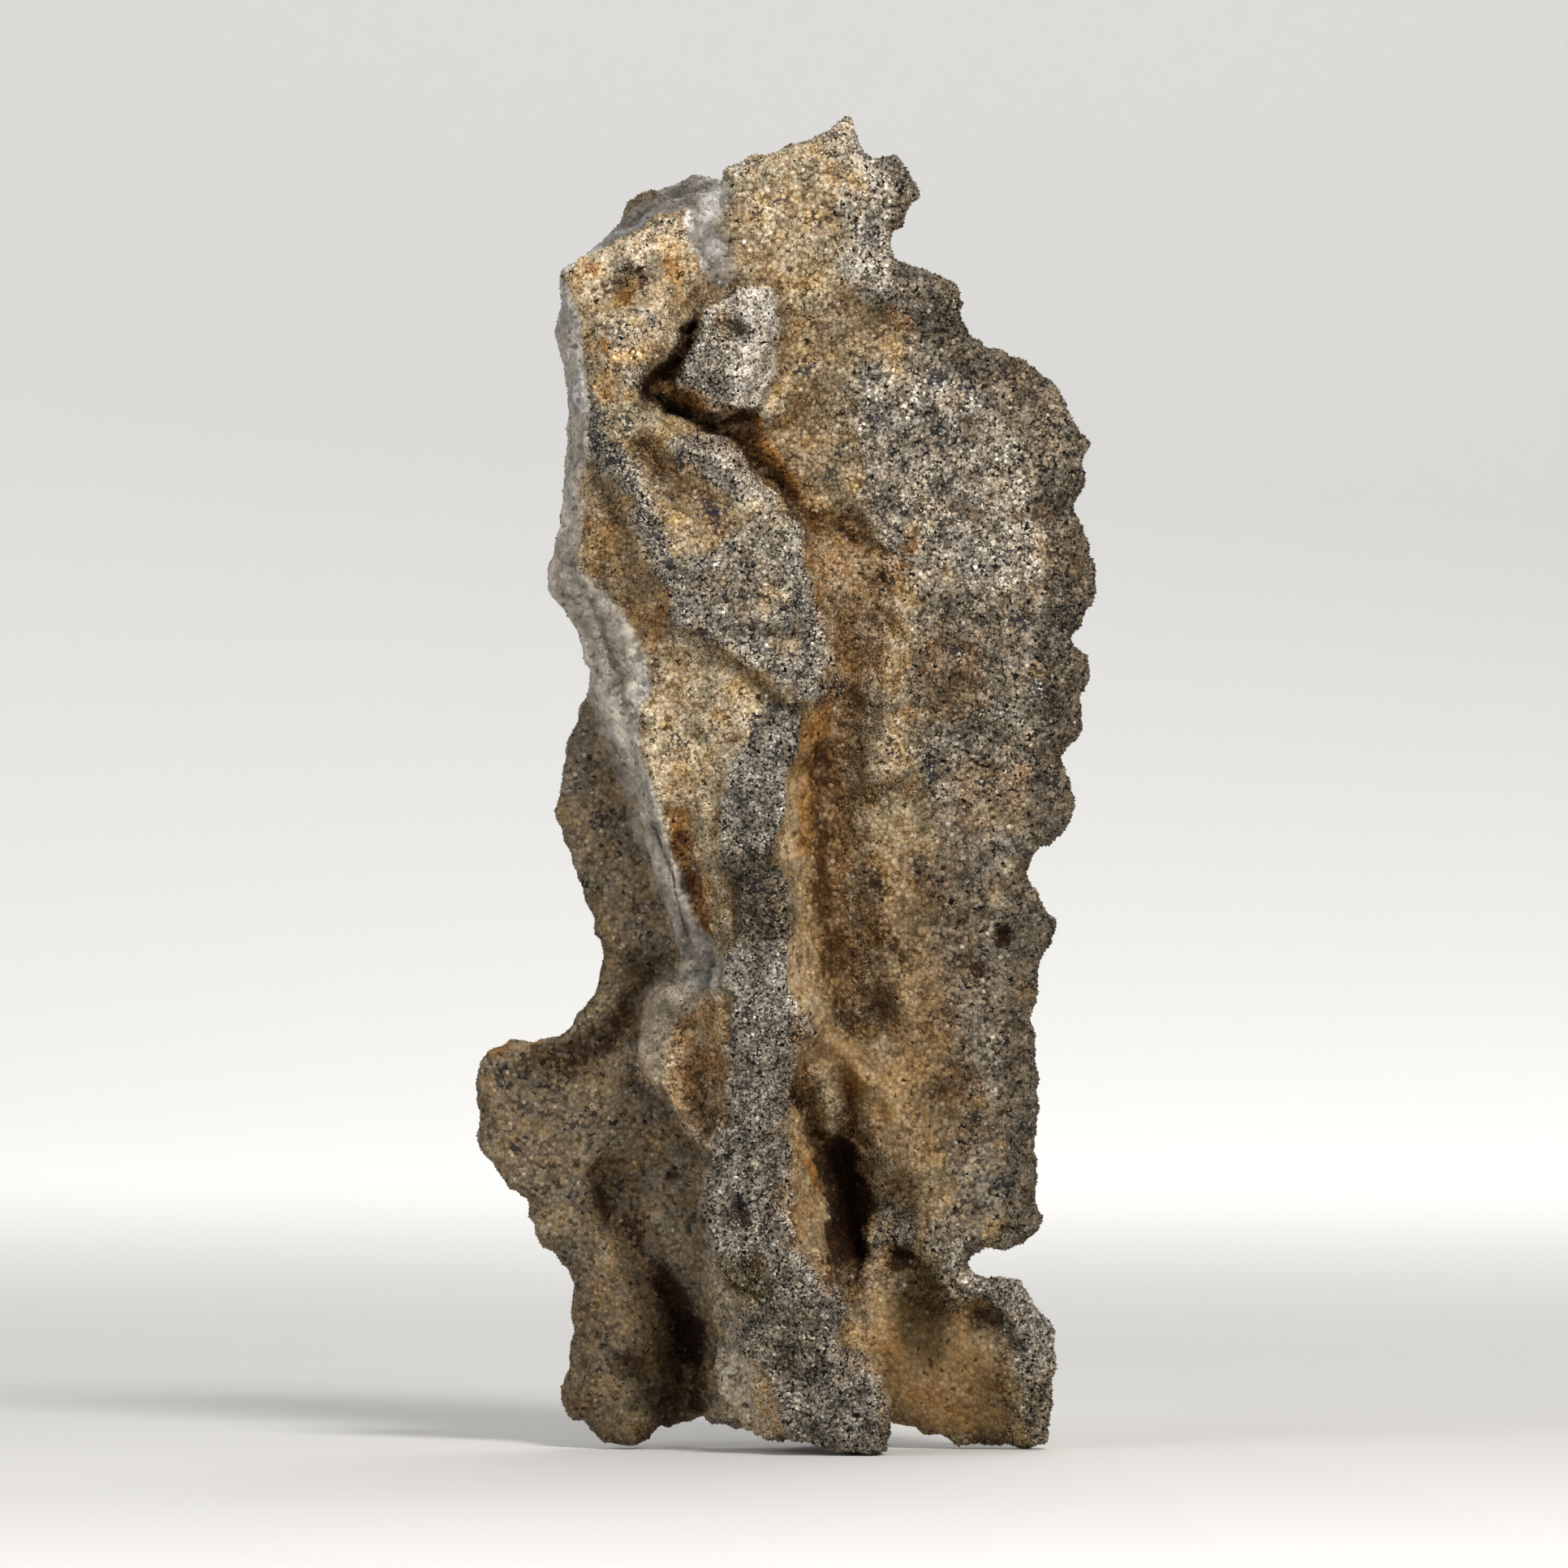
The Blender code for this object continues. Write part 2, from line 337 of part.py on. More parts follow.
def table_depth(x, z, columns, rows):
    """The depth at (x, z) between the values of a small table."""
    heights = [height for height, _ in rows]
    by_row = np.array([np.interp(x, columns, values) for _, values in rows])
    place = np.interp(z, heights, np.arange(len(rows)))
    lower = np.clip(place.astype(int), 0, len(rows) - 2)
    share = place - lower
    index = np.arange(len(x))
    return by_row[lower, index] * (1.0 - share) + by_row[lower + 1, index] * share


def folded(x, z, folds):
    """How far the folds move a sheet towards the viewer at (x, z)."""
    return sum(height * np.exp(-((distance_to_line(x, z, line) / width) ** 2)) for line, height, width in folds)


def right_middle(x, z):
    return table_depth(x, z, RIGHT_X, RIGHT_DEPTH) - folded(x, z, RIGHT_FOLDS)


def left_middle(x, z):
    return table_depth(x, z, LEFT_X, LEFT_DEPTH) - folded(x, z, LEFT_FOLDS)


def back_middle(y, z):
    root = np.interp(z, BACK_HEIGHTS, BACK_ROOT_X)
    lean = np.interp(z, BACK_HEIGHTS, BACK_LEAN)
    return root + lean * (y - 2.0) + folded(y, z, BACK_FOLDS)


def stub_middle(x, z):
    return STUB_TIP_Y + STUB_LEAN * (x - STUB[3][0]) + STUB_THICKNESS / 2


def sheet(mesh, outline, middle, thickness, turned=False):
    """Adds to the mesh a wing: an outline filled in and given a rounded thickness about its middle.

    A turned sheet stands in the y-z plane instead, so that its middle gives x.
    """
    corners = np.array(outline)
    low, high = corners.min(0), corners.max(0)
    across, up = np.meshgrid(
        np.arange(low[0] + GRID_STEP / 2, high[0], GRID_STEP),
        np.arange(low[1] + GRID_STEP / 2, high[1], GRID_STEP),
    )
    across, up = across.ravel(), up.ravel()
    ring = outline + outline[:1]
    keep = inside(across, up, outline) & (distance_to_line(across, up, ring) > GRID_STEP / 2)
    spots = [Vector(p) for p in outline] + [Vector(p) for p in zip(across[keep], up[keep])]
    rim = [(i, (i + 1) % len(outline)) for i in range(len(outline))]
    places, _, faces, *_ = delaunay_2d_cdt(spots, rim, [], 1, 1e-5)
    u = np.array([p[0] for p in places])
    v = np.array([p[1] for p in places])
    edge = 1.0 - np.clip(distance_to_line(u, v, ring) / RIM_WIDTH, 0.0, 1.0)
    half = thickness / 2 * (RIM_SHARE + (1.0 - RIM_SHARE) * np.sqrt(1.0 - edge * edge))
    centre = middle(u, v)
    sides = []
    for offset in (-half, half):
        depth = centre + offset
        points = zip(depth, u, v) if turned else zip(u, depth, v)
        sides.append([mesh.verts.new(p) for p in points])
    front, back = sides
    used = {}
    for face in faces:
        mesh.faces.new([front[i] for i in face])
        mesh.faces.new([back[i] for i in reversed(face)])
        for a, b in zip(face, list(face[1:]) + [face[0]]):
            used[(a, b)] = used.get((b, a), 0) + 1
            if (b, a) in used:
                used[(b, a)] = 2
    for (a, b), count in used.items():
        if count == 1 and (b, a) not in used:
            mesh.faces.new([front[b], front[a], back[a], back[b]])


def ring_points(share):
    """One ring of the core, at a share of each line's own height, with its corners rounded."""
    corners = []
    for line in CORE_LINES.values():
        heights = [point[0] for point in line]
        z = heights[0] + (heights[-1] - heights[0]) * share
        corners.append([np.interp(z, heights, [p[1] for p in line]), np.interp(z, heights, [p[2] for p in line]), z])
    corners = np.array(corners)
    steps = np.arange(RING_STEPS)[:, None] / RING_STEPS
    spans = [a + (b - a) * steps for a, b in zip(corners, np.roll(corners, -1, 0))]
    points = np.concatenate(spans)
    for _ in range(RING_SMOOTHING):
        points = (np.roll(points, 1, 0) + 2 * points + np.roll(points, -1, 0)) / 4
    return points


def core(mesh):
    """Adds the core with the front crest, as rings joined one above the other."""
    rings = [[mesh.verts.new(p) for p in ring_points(row / RING_ROWS)] for row in range(RING_ROWS + 1)]
    for lower, upper in zip(rings[:-1], rings[1:]):
        for i, corner in enumerate(lower):
            j = (i + 1) % len(lower)
            mesh.faces.new([corner, lower[j], upper[j], upper[i]])
    for cap in (list(reversed(rings[0])), rings[-1]):
        middle = mesh.verts.new(sum((v.co for v in cap), Vector()) / len(cap))
        for a, b in zip(cap, cap[1:] + cap[:1]):
            mesh.faces.new([a, b, middle])


def ball(mesh, centre, radii):
    """Adds a lump: a ball with its own radius along each axis."""
    made = bmesh.ops.create_icosphere(mesh, subdivisions=3, radius=1.0)["verts"]
    for vertex in made:
        vertex.co = Vector(c + r * p for c, r, p in zip(centre, radii, vertex.co))


def pieces_of_the_stone():
    """Every wing, the core and the lumps, overlapping in one mesh, before they are fused."""
    mesh = bmesh.new()
    core(mesh)
    sheet(mesh, RIGHT_WING, right_middle, WING_THICKNESS)
    sheet(mesh, LEFT_WING, left_middle, WING_THICKNESS)
    sheet(mesh, BACK_WING, back_middle, BACK_WING_THICKNESS, turned=True)
    sheet(mesh, STUB, stub_middle, STUB_THICKNESS)
    for lobes, middle in ((RIGHT_LOBES, right_middle), (LEFT_LOBES, left_middle)):
        for x, z, radius in lobes:
            depth = middle(np.array([x]), np.array([z]))[0]
            ball(mesh, (x, depth, z), (radius, radius * 1.15, radius))
    for y, z, radius in BACK_LOBES:
        ball(mesh, (back_middle(np.array([y]), np.array([z]))[0], y, z), (radius, radius, radius))
    for centre, radii in LUMPS:
        ball(mesh, centre, radii)
    bmesh.ops.recalc_face_normals(mesh, faces=mesh.faces)
    return mesh


def apply_modifiers(stone):
    """Keeps the mesh that the object's modifiers make."""
    graph = bpy.context.evaluated_depsgraph_get()
    mesh = bpy.data.meshes.new_from_object(stone.evaluated_get(graph))
    stone.modifiers.clear()
    stone.data = mesh


def fuse(stone):
    """Makes one skin of the overlapping pieces, and softens where they meet."""
    remesh = stone.modifiers.new("fuse", "REMESH")
    remesh.mode = "VOXEL"
    remesh.voxel_size = FUSE_VOXEL * MM
    soften = stone.modifiers.new("soften", "SMOOTH")
    soften.factor = SMOOTH_FACTOR
    soften.iterations = SMOOTH_ROUNDS
    apply_modifiers(stone)


def sculpt(stone):
    """Presses the hollows into the front, and gives the whole skin its lumps and ripples."""
    mesh = stone.data
    surface = BVHTree.FromPolygons([v.co for v in mesh.vertices], [p.vertices for p in mesh.polygons])
    dents = []
    for x, z, radius, depth in HOLLOWS:
        hit, *_ = surface.ray_cast(Vector((x, -100.0, z)) * MM, Vector((0.0, 1.0, 0.0)))
        dents.append((hit, radius * MM, depth * MM))
    points = np.array([v.co for v in mesh.vertices]) / MM
    cuts = sum(
        depth * np.exp(-((distance_to_line(points[:, 0], points[:, 2], line) / width) ** 2))
        for line, width, depth in RELIEF
    )
    normals = [v.normal.copy() for v in mesh.vertices]
    for vertex, normal, cut in zip(mesh.vertices, normals, cuts):
        spot = vertex.co / MM
        nodules = noise.voronoi(spot / NODULE_SIZE)[0][0]
        lumps = noise.noise(spot / LUMP_SIZE) * LUMP_HEIGHT
        push = (lumps + (NODULE_MIDDLE - nodules) * NODULE_HEIGHT) * MM
        for hit, radius, depth in dents:
            push -= depth * math.exp(-((vertex.co - hit).length_squared) / (radius * radius))
        start = vertex.co + TOWARDS_VIEWER * CLEARANCE * MM
        if abs(cut) > LEAST_CUT and normal.y < 0.2 and surface.ray_cast(start, TOWARDS_VIEWER)[0] is None:
            vertex.co.y += cut * MM
        vertex.co += normal * push


def trim(stone):
    """Brings in whatever stands outside the outline, as seen from the front."""
    mesh = stone.data
    points = np.array([v.co for v in mesh.vertices]) / MM
    outside = ~inside(points[:, 0], points[:, 2], OUTLINE) & (points[:, 2] > LOWEST_TRIM)
    for index in np.flatnonzero(outside):
        vertex = mesh.vertices[index]
        place = nearest_on(Vector((points[index, 0], points[index, 2])), OUTLINE)
        vertex.co.x, vertex.co.z = place.x * MM, place.y * MM


def stand_on_floor(stone):
    """Thins the skin to its triangles, cuts the three feet flat, and centres the box on the origin."""
    thin = stone.modifiers.new("thin", "DECIMATE")
    thin.ratio = TRIANGLES / (2 * len(stone.data.polygons))
    thin.use_collapse_triangulate = True
    apply_modifiers(stone)
    mesh = bmesh.new()
    mesh.from_mesh(stone.data)
    everything = list(mesh.verts) + list(mesh.edges) + list(mesh.faces)
    cut = bmesh.ops.bisect_plane(
        mesh, geom=everything, dist=1e-6, plane_co=(0.0, 0.0, FLOOR), plane_no=(0.0, 0.0, 1.0), clear_inner=True
    )
    rim = [e for e in cut["geom_cut"] if isinstance(e, bmesh.types.BMEdge)]
    bmesh.ops.holes_fill(mesh, edges=rim)
    bmesh.ops.triangulate(mesh, faces=mesh.faces)
    bmesh.ops.remove_doubles(mesh, verts=mesh.verts, dist=SHORTEST_EDGE * MM)
    points = np.array([v.co for v in mesh.verts])
    middle = (points.min(0) + points.max(0)) / 2
    bmesh.ops.translate(mesh, verts=mesh.verts, vec=(-middle[0], -middle[1], 0.0))
    mesh.to_mesh(stone.data)
    mesh.free()


def stone_material():
    material = bpy.data.materials.new("fused_sand")
    material.use_nodes = True
    shader = material.node_tree.nodes["Principled BSDF"]
    shader.inputs["Base Color"].default_value = STONE_COLOUR
    shader.inputs["Roughness"].default_value = STONE_ROUGHNESS
    shader.inputs["Metallic"].default_value = 0.0
    return material


def main():
    for old in list(bpy.data.objects):
        bpy.data.objects.remove(old)
    pieces = pieces_of_the_stone()
    bmesh.ops.scale(pieces, verts=pieces.verts, vec=(MM, MM, MM))
    data = bpy.data.meshes.new("fulgurite")
    pieces.to_mesh(data)
    pieces.free()
    stone = bpy.data.objects.new("fulgurite", data)
    bpy.context.scene.collection.objects.link(stone)
    fuse(stone)
    sculpt(stone)
    trim(stone)
    stand_on_floor(stone)
    stone.data.materials.append(stone_material())


main()
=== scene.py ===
"""A winged fulgurite with its sandy crust, nodular rims and glassy breaks, standing on a pale studio floor.

Every piece is an operator and main() calls them in order. Places on the stone are in millimetres as seen
from the front: x to the right of its middle, z up from the floor.
"""

import math

import bmesh
import bpy
import numpy as np
from bpy.props import FloatProperty, FloatVectorProperty, IntProperty, PointerProperty
from bpy.types import Operator, Panel, PropertyGroup
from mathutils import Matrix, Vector, noise
from mathutils.bvhtree import BVHTree


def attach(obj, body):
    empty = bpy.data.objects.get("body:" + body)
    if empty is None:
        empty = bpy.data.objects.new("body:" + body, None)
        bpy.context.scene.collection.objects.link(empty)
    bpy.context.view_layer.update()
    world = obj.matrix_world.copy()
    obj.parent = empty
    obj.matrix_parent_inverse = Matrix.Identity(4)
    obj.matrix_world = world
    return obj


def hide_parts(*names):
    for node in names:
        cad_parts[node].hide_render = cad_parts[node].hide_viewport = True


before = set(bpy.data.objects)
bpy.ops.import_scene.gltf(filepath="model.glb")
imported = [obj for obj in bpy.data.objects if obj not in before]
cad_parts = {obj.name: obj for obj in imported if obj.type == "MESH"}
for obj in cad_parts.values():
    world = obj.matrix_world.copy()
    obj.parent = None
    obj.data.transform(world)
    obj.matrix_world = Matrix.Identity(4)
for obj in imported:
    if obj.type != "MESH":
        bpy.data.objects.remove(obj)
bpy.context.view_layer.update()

bl_info = {
    "name": "Winged fulgurite",
    "version": (1, 0, 0),
    "blender": (4, 5, 0),
    "location": "View3D > Sidebar > Fulgurite",
    "description": "Fused sand skin, loose-looking sand grains and glassy breaks of a winged fulgurite",
    "category": "Mesh",
}

MM = 0.001
STONE = "fulgurite"
BODY = "root"
TO_VIEWER = Vector((0.0, -1.0, 0.0))

# The width that the whole photograph takes in at the stone.
PHOTO_WIDTH = 68.2

# Each patch is its outline in (x, z), how far its rim fades, and its strength. Each line is its points, its
# width and its strength. First the broken glass.
LEFT_BREAK = [
    (-10.8, 38.2), (-10.6, 36.6), (-9.4, 35.0), (-8.7, 34.0), (-8.6, 33.0), (-8.0, 31.8), (-7.8, 30.5),
    (-7.3, 29.5), (-6.9, 28.0), (-6.4, 27.0), (-6.0, 26.0), (-5.8, 25.0), (-5.3, 24.0), (-5.0, 23.0),
    (-4.7, 22.0), (-4.6, 21.4), (-4.6, 20.4), (-3.2, 20.2), (-2.7, 21.2), (-3.2, 22.0), (-3.7, 22.5),
    (-4.0, 23.5), (-4.4, 24.5), (-4.7, 25.5), (-5.1, 26.5), (-5.3, 27.5), (-5.6, 28.2), (-5.9, 29.0),
    (-6.3, 30.0), (-6.5, 31.0), (-6.4, 32.0), (-6.1, 33.0), (-6.1, 34.0), (-6.2, 35.0), (-6.5, 35.6),
    (-7.0, 36.2), (-7.8, 36.9), (-8.6, 37.7), (-9.2, 38.4),
]
LEFT_STRIP = [
    (-10.2, 41.6), (-9.4, 41.7), (-9.1, 42.4), (-8.85, 43.2), (-8.8, 44.2), (-8.9, 45.5), (-9.1, 47.0),
    (-9.2, 48.5), (-9.3, 50.2), (-9.6, 51.2), (-10.4, 51.4), (-10.6, 48.4), (-10.2, 44.0),
]
LOW_STRIP = [(-10.9, 39.8), (-9.5, 39.7), (-9.2, 38.9), (-9.2, 38.0), (-10.8, 38.0)]
TOP_BREAK = [
    (-8.6, 52.3), (-6.7, 53.3), (-5.2, 54.0), (-4.3, 53.7), (-3.9, 52.4), (-3.3, 51.2), (-2.9, 50.6),
    (-2.3, 51.0), (-2.65, 52.4), (-2.7, 55.9), (-3.8, 56.2), (-4.8, 55.4), (-6.6, 54.4), (-8.4, 53.2),
]
STUB_RIM = [
    (-3.0, 20.6), (-4.2, 20.3), (-5.1, 19.6), (-5.6, 18.9), (-5.85, 18.0), (-5.8, 17.0), (-5.7, 16.4),
]
STUB_GLASS = [
    (-5.6, 20.4), (-4.6, 20.9), (-2.9, 20.9), (-2.6, 20.3), (-3.6, 20.0), (-4.4, 19.5), (-4.9, 18.8),
    (-5.3, 17.8), (-6.4, 17.4), (-6.3, 19.2),
]
KNOB_FACE = [
    (-1.7, 50.3), (-0.4, 49.9), (-0.3, 47.0), (-0.9, 45.6), (-1.7, 45.3), (-1.4, 47.4), (-1.8, 49.2),
]
GLASS_PATCHES = [
    (LEFT_BREAK, 0.18, 1.0), (LEFT_STRIP, 0.15, 0.9), (LOW_STRIP, 0.2, 0.9), (TOP_BREAK, 0.3, 1.0),
    (STUB_GLASS, 0.4, 0.58), (KNOB_FACE, 0.4, 0.35),
]
GLASS_LINES = [(STUB_RIM, 0.4, 0.6)]

# Sand that stays in front of the broken glass.
PANEL = [
    (-9.7, 51.0), (-7.7, 52.4), (-6.4, 53.15), (-5.5, 53.65), (-4.45, 53.75), (-4.1, 52.6), (-3.6, 51.5),
    (-3.3, 50.8), (-4.2, 48.8), (-8.6, 46.6), (-9.0, 49.4), (-9.2, 50.4),
]
SAND_PATCHES = [
    (PANEL, 0.1, 1.0), ([(-7.1, 53.9), (-7.0, 54.5), (-5.6, 54.9), (-5.5, 54.5), (-6.4, 54.2)], 0.2, 0.8),
]

# The thin channel that the lightning left, where it shows in the broken glass, painted dark as the shade
# inside it.
CHANNEL_LINES = [
    [(-5.9, 27.3), (-5.5, 26.4), (-5.1, 25.2), (-4.9, 24.3), (-4.5, 23.3), (-4.3, 22.4)],
    [(-7.35, 29.7), (-7.2, 29.5)], [(-4.8, 54.6), (-4.3, 54.3), (-3.9, 53.9)],
    [(-2.4, 51.1), (-1.9, 50.85), (-1.0, 50.6)], [(-4.05, 20.9), (-3.8, 20.75)],
]

# Edges of the forms that stand in front of others. Seen along each line, the nearer form lies to its left.
CREST_LEFT = [
    (-2.6, 28.4), (-2.8, 27.0), (-2.7, 26.0), (-2.4, 25.0), (-2.2, 24.4), (-2.1, 23.0), (-2.3, 22.0),
    (-2.7, 21.2), (-2.4, 20.2), (-2.1, 19.6), (-2.1, 18.4), (-2.5, 17.5), (-2.4, 16.2), (-2.6, 15.0),
    (-3.0, 14.0), (-3.1, 13.0), (-3.3, 12.0), (-3.7, 11.3), (-3.4, 10.0), (-3.1, 9.0), (-2.9, 8.0),
    (-2.3, 7.3), (-1.7, 6.9), (-1.9, 6.0), (-1.9, 4.6), (-1.3, 4.0), (-0.6, 3.2), (-0.4, 2.2), (0.1, 1.4),
    (1.0, 0.4),
]
CREST_RIGHT = [
    (4.3, 0.1), (4.65, 1.2), (4.5, 2.0), (4.1, 3.0), (3.7, 3.9), (3.2, 4.5), (2.4, 4.8), (2.5, 5.6),
    (2.6, 6.1), (2.4, 6.7), (1.9, 7.5), (1.2, 8.0), (0.7, 8.8), (0.4, 10.0), (0.7, 11.4), (0.4, 12.4),
    (0.3, 14.0), (0.2, 15.2), (0.1, 16.2), (0.6, 17.2), (1.2, 18.2), (0.9, 19.2), (0.4, 20.0), (0.0, 20.4),
    (0.0, 22.2), (0.35, 23.2), (0.55, 24.0), (0.4, 24.8), (-0.1, 25.2), (-0.6, 25.7), (-0.5, 26.5),
    (-0.2, 27.3), (0.25, 28.0), (0.1, 29.3), (0.7, 29.9), (0.8, 31.2), (0.7, 32.2),
]
FLAP_EDGE = [
    (0.7, 32.3), (1.3, 32.8), (2.2, 33.1), (2.4, 33.7), (2.1, 34.5), (2.0, 35.5), (1.7, 36.5), (1.5, 37.3),
    (1.2, 38.0), (0.8, 39.0), (0.9, 40.0), (0.4, 40.3), (0.0, 40.7), (-0.2, 41.4), (-0.7, 42.1),
    (-1.2, 42.4), (-1.5, 42.9), (-1.9, 43.5), (-2.6, 44.1), (-3.1, 44.15), (-4.5, 44.7), (-6.0, 45.1),
]
RIDGE_EDGE = [
    (-8.7, 43.6), (-7.8, 41.9), (-7.2, 40.9), (-6.6, 39.4), (-5.6, 37.6), (-4.8, 36.3), (-3.4, 35.3),
    (-2.6, 34.8), (-1.4, 34.0), (-0.6, 33.2), (0.2, 32.4),
]
KNOB = [
    (-0.3, 48.0), (-0.4, 49.8), (-0.7, 50.4), (-1.9, 50.5), (-2.8, 50.1), (-3.2, 49.5), (-3.6, 48.8),
    (-4.2, 48.1), (-4.5, 47.2), (-4.6, 46.4), (-4.2, 45.8), (-3.6, 45.2), (-2.9, 44.6), (-2.0, 44.9),
    (-1.2, 45.3), (-0.9, 46.0), (-0.3, 46.8),
]
PANEL_EDGE = [
    (-6.1, 45.6), (-6.0, 46.2), (-5.4, 46.5), (-5.0, 46.9), (-4.85, 47.6), (-4.6, 48.3), (-4.2, 48.8),
    (-4.0, 49.2),
]
STUB_EDGE = [
    (-4.7, 21.2), (-5.5, 20.2), (-6.1, 19.2), (-6.4, 18.2), (-6.4, 17.0), (-6.2, 16.1), (-5.2, 15.8),
    (-5.0, 14.8), (-4.5, 14.0), (-3.7, 13.2), (-3.2, 12.9),
]
VALLEY_TOP = [(1.0, 40.9), (1.8, 40.5), (3.0, 39.8), (4.2, 39.4), (5.0, 39.3), (5.6, 40.2)]

# Line, how far its raised side reaches and how high, how far its lower side reaches and how deep.
LEDGES = [
    (CREST_RIGHT, 0.7, 0.25, 0.7, 0.45), (CREST_LEFT, 0.6, 0.2, 0.9, 0.5), (FLAP_EDGE, 1.0, 0.4, 0.9, 0.6),
    (RIDGE_EDGE, 0.7, 0.3, 0.6, 0.3), (KNOB + KNOB[:1], 0.6, 0.3, 0.4, 0.4),
    (PANEL_EDGE, 0.7, 0.4, 0.4, 0.5), (STUB_EDGE, 0.6, 0.5, 0.7, 0.5), (VALLEY_TOP, 0.6, 0.1, 0.5, 0.15),
]
LEDGE_WALL = 0.14

# Grey granular crust.
CREST = CREST_LEFT + CREST_RIGHT + [(-1.0, 32.4), (-1.8, 30.6), (-2.2, 29.2)]
FLAP_RIM = FLAP_EDGE[:12] + [(0.0, 39.4), (0.3, 37.6), (0.8, 35.6), (1.0, 34.4), (0.2, 33.4)]
FLAP = [
    (-0.4, 41.0), (0.1, 39.8), (0.4, 38.4), (1.0, 36.0), (1.3, 34.4), (1.0, 33.4), (-0.4, 33.4),
    (-1.4, 34.2), (-2.6, 35.0), (-4.4, 36.0), (-5.4, 37.4), (-4.6, 38.6), (-3.2, 38.4), (-2.2, 39.8),
]
FIN_TOP = [(-2.7, 43.9), (-1.4, 42.4), (-0.3, 41.2), (-2.0, 41.2), (-3.4, 42.4), (-4.8, 43.8)]
RIGHT_RIM = [
    (3.6, 56.6), (6.4, 55.6), (6.6, 53.8), (5.0, 52.4), (8.4, 50.8), (8.4, 48.6), (12.0, 47.2),
    (14.2, 44.0), (14.2, 30.0), (12.9, 24.0), (12.6, 12.0), (11.9, 8.6), (9.7, 9.2), (9.9, 14.0),
    (9.6, 19.6), (10.0, 23.8), (10.8, 27.4), (11.4, 32.0), (11.6, 38.0), (11.0, 42.4), (9.4, 45.6),
    (7.2, 47.6), (5.8, 49.4), (3.6, 50.4), (3.4, 52.4), (4.4, 54.2),
]
RIGHT_PANEL = [
    (5.6, 48.4), (9.0, 46.4), (11.2, 42.8), (11.8, 38.0), (11.6, 32.0), (10.8, 27.0), (10.2, 22.6),
    (9.8, 16.0), (9.8, 10.0), (7.6, 10.6), (7.8, 16.0), (7.4, 21.0), (6.8, 27.0), (6.2, 32.0), (6.0, 40.0),
    (5.4, 45.0),
]
UPPER_PANEL = [(3.5, 46.5), (9.0, 46.0), (11.0, 42.0), (11.0, 38.0), (5.0, 38.5), (4.0, 42.0)]
FOOT_RIM = [
    (9.8, 8.2), (10.8, 7.6), (12.3, 5.2), (12.8, 2.0), (11.8, -0.4), (10.8, 0.6), (10.6, 3.0), (10.0, 5.0),
    (8.8, 6.6), (8.4, 7.6),
]
BACK_LEFT_SHEET = [
    (-8.4, 33.0), (-10.8, 28.0), (-8.6, 20.0), (-14.2, 18.6), (-14.4, 12.0), (-11.2, 8.4), (-9.8, 7.4),
    (-10.0, 1.0), (-6.0, -0.4), (-1.6, 0.6), (-2.0, 6.6), (-3.4, 9.4), (-3.4, 12.6), (-5.4, 15.0),
    (-6.6, 17.6), (-5.6, 20.6), (-5.0, 22.0), (-6.0, 26.0), (-7.0, 29.0), (-8.0, 32.0),
]
CRUST_PATCHES = [
    ([(2.2, 57.0), (3.6, 56.6), (4.6, 54.0), (4.2, 50.4), (2.4, 50.8)], 0.6, 0.5), (CREST, 0.12, 1.0),
    (FLAP_RIM, 0.1, 0.85), (FLAP, 0.7, 0.6), (FIN_TOP, 0.5, 0.7), (KNOB, 0.15, 0.8), (RIGHT_RIM, 1.6, 0.75),
    (RIGHT_PANEL, 1.8, 0.6), (UPPER_PANEL, 1.5, 0.7),
    ([(6.2, 9.8), (8.4, 9.6), (8.6, 6.4), (7.2, 6.2)], 0.5, 0.6),
    ([(3.9, 10.8), (5.6, 10.4), (5.6, 9.0), (4.0, 8.9)], 0.3, 0.7), (FOOT_RIM, 0.8, 0.8),
    (BACK_LEFT_SHEET, 1.0, 0.55),
]
CRUST_LINES = [
    ([(-8.3, 43.8), (-7.0, 42.5), (-6.2, 41.5), (-5.8, 39.5), (-5.0, 38.0), (-4.3, 36.5), (-2.8, 36.0),
      (-1.5, 35.0), (0.0, 33.8), (2.0, 33.3)], 0.85, 0.95),
    ([(-8.8, 46.2), (-8.4, 44.4), (-7.8, 42.6)], 0.6, 0.7), ([(-7.4, 47.6), (-6.2, 46.4)], 0.7, 0.45),
    ([(3.0, 51.3), (5.5, 51.0), (8.0, 50.0)], 0.9, 0.8),
    ([(-13.4, 16.8), (-13.2, 14.4), (-12.6, 12.4)], 0.9, 0.6),
    ([(-9.2, 6.8), (-7.6, 7.0), (-6.3, 6.3)], 0.5, 0.5), ([(1.8, 57.2), (3.2, 56.8)], 0.8, 0.6),
    ([(-7.2, 51.0), (-6.2, 50.6)], 0.8, 0.4), ([(-6.2, 49.4), (-5.6, 48.9)], 0.25, 0.8),
]
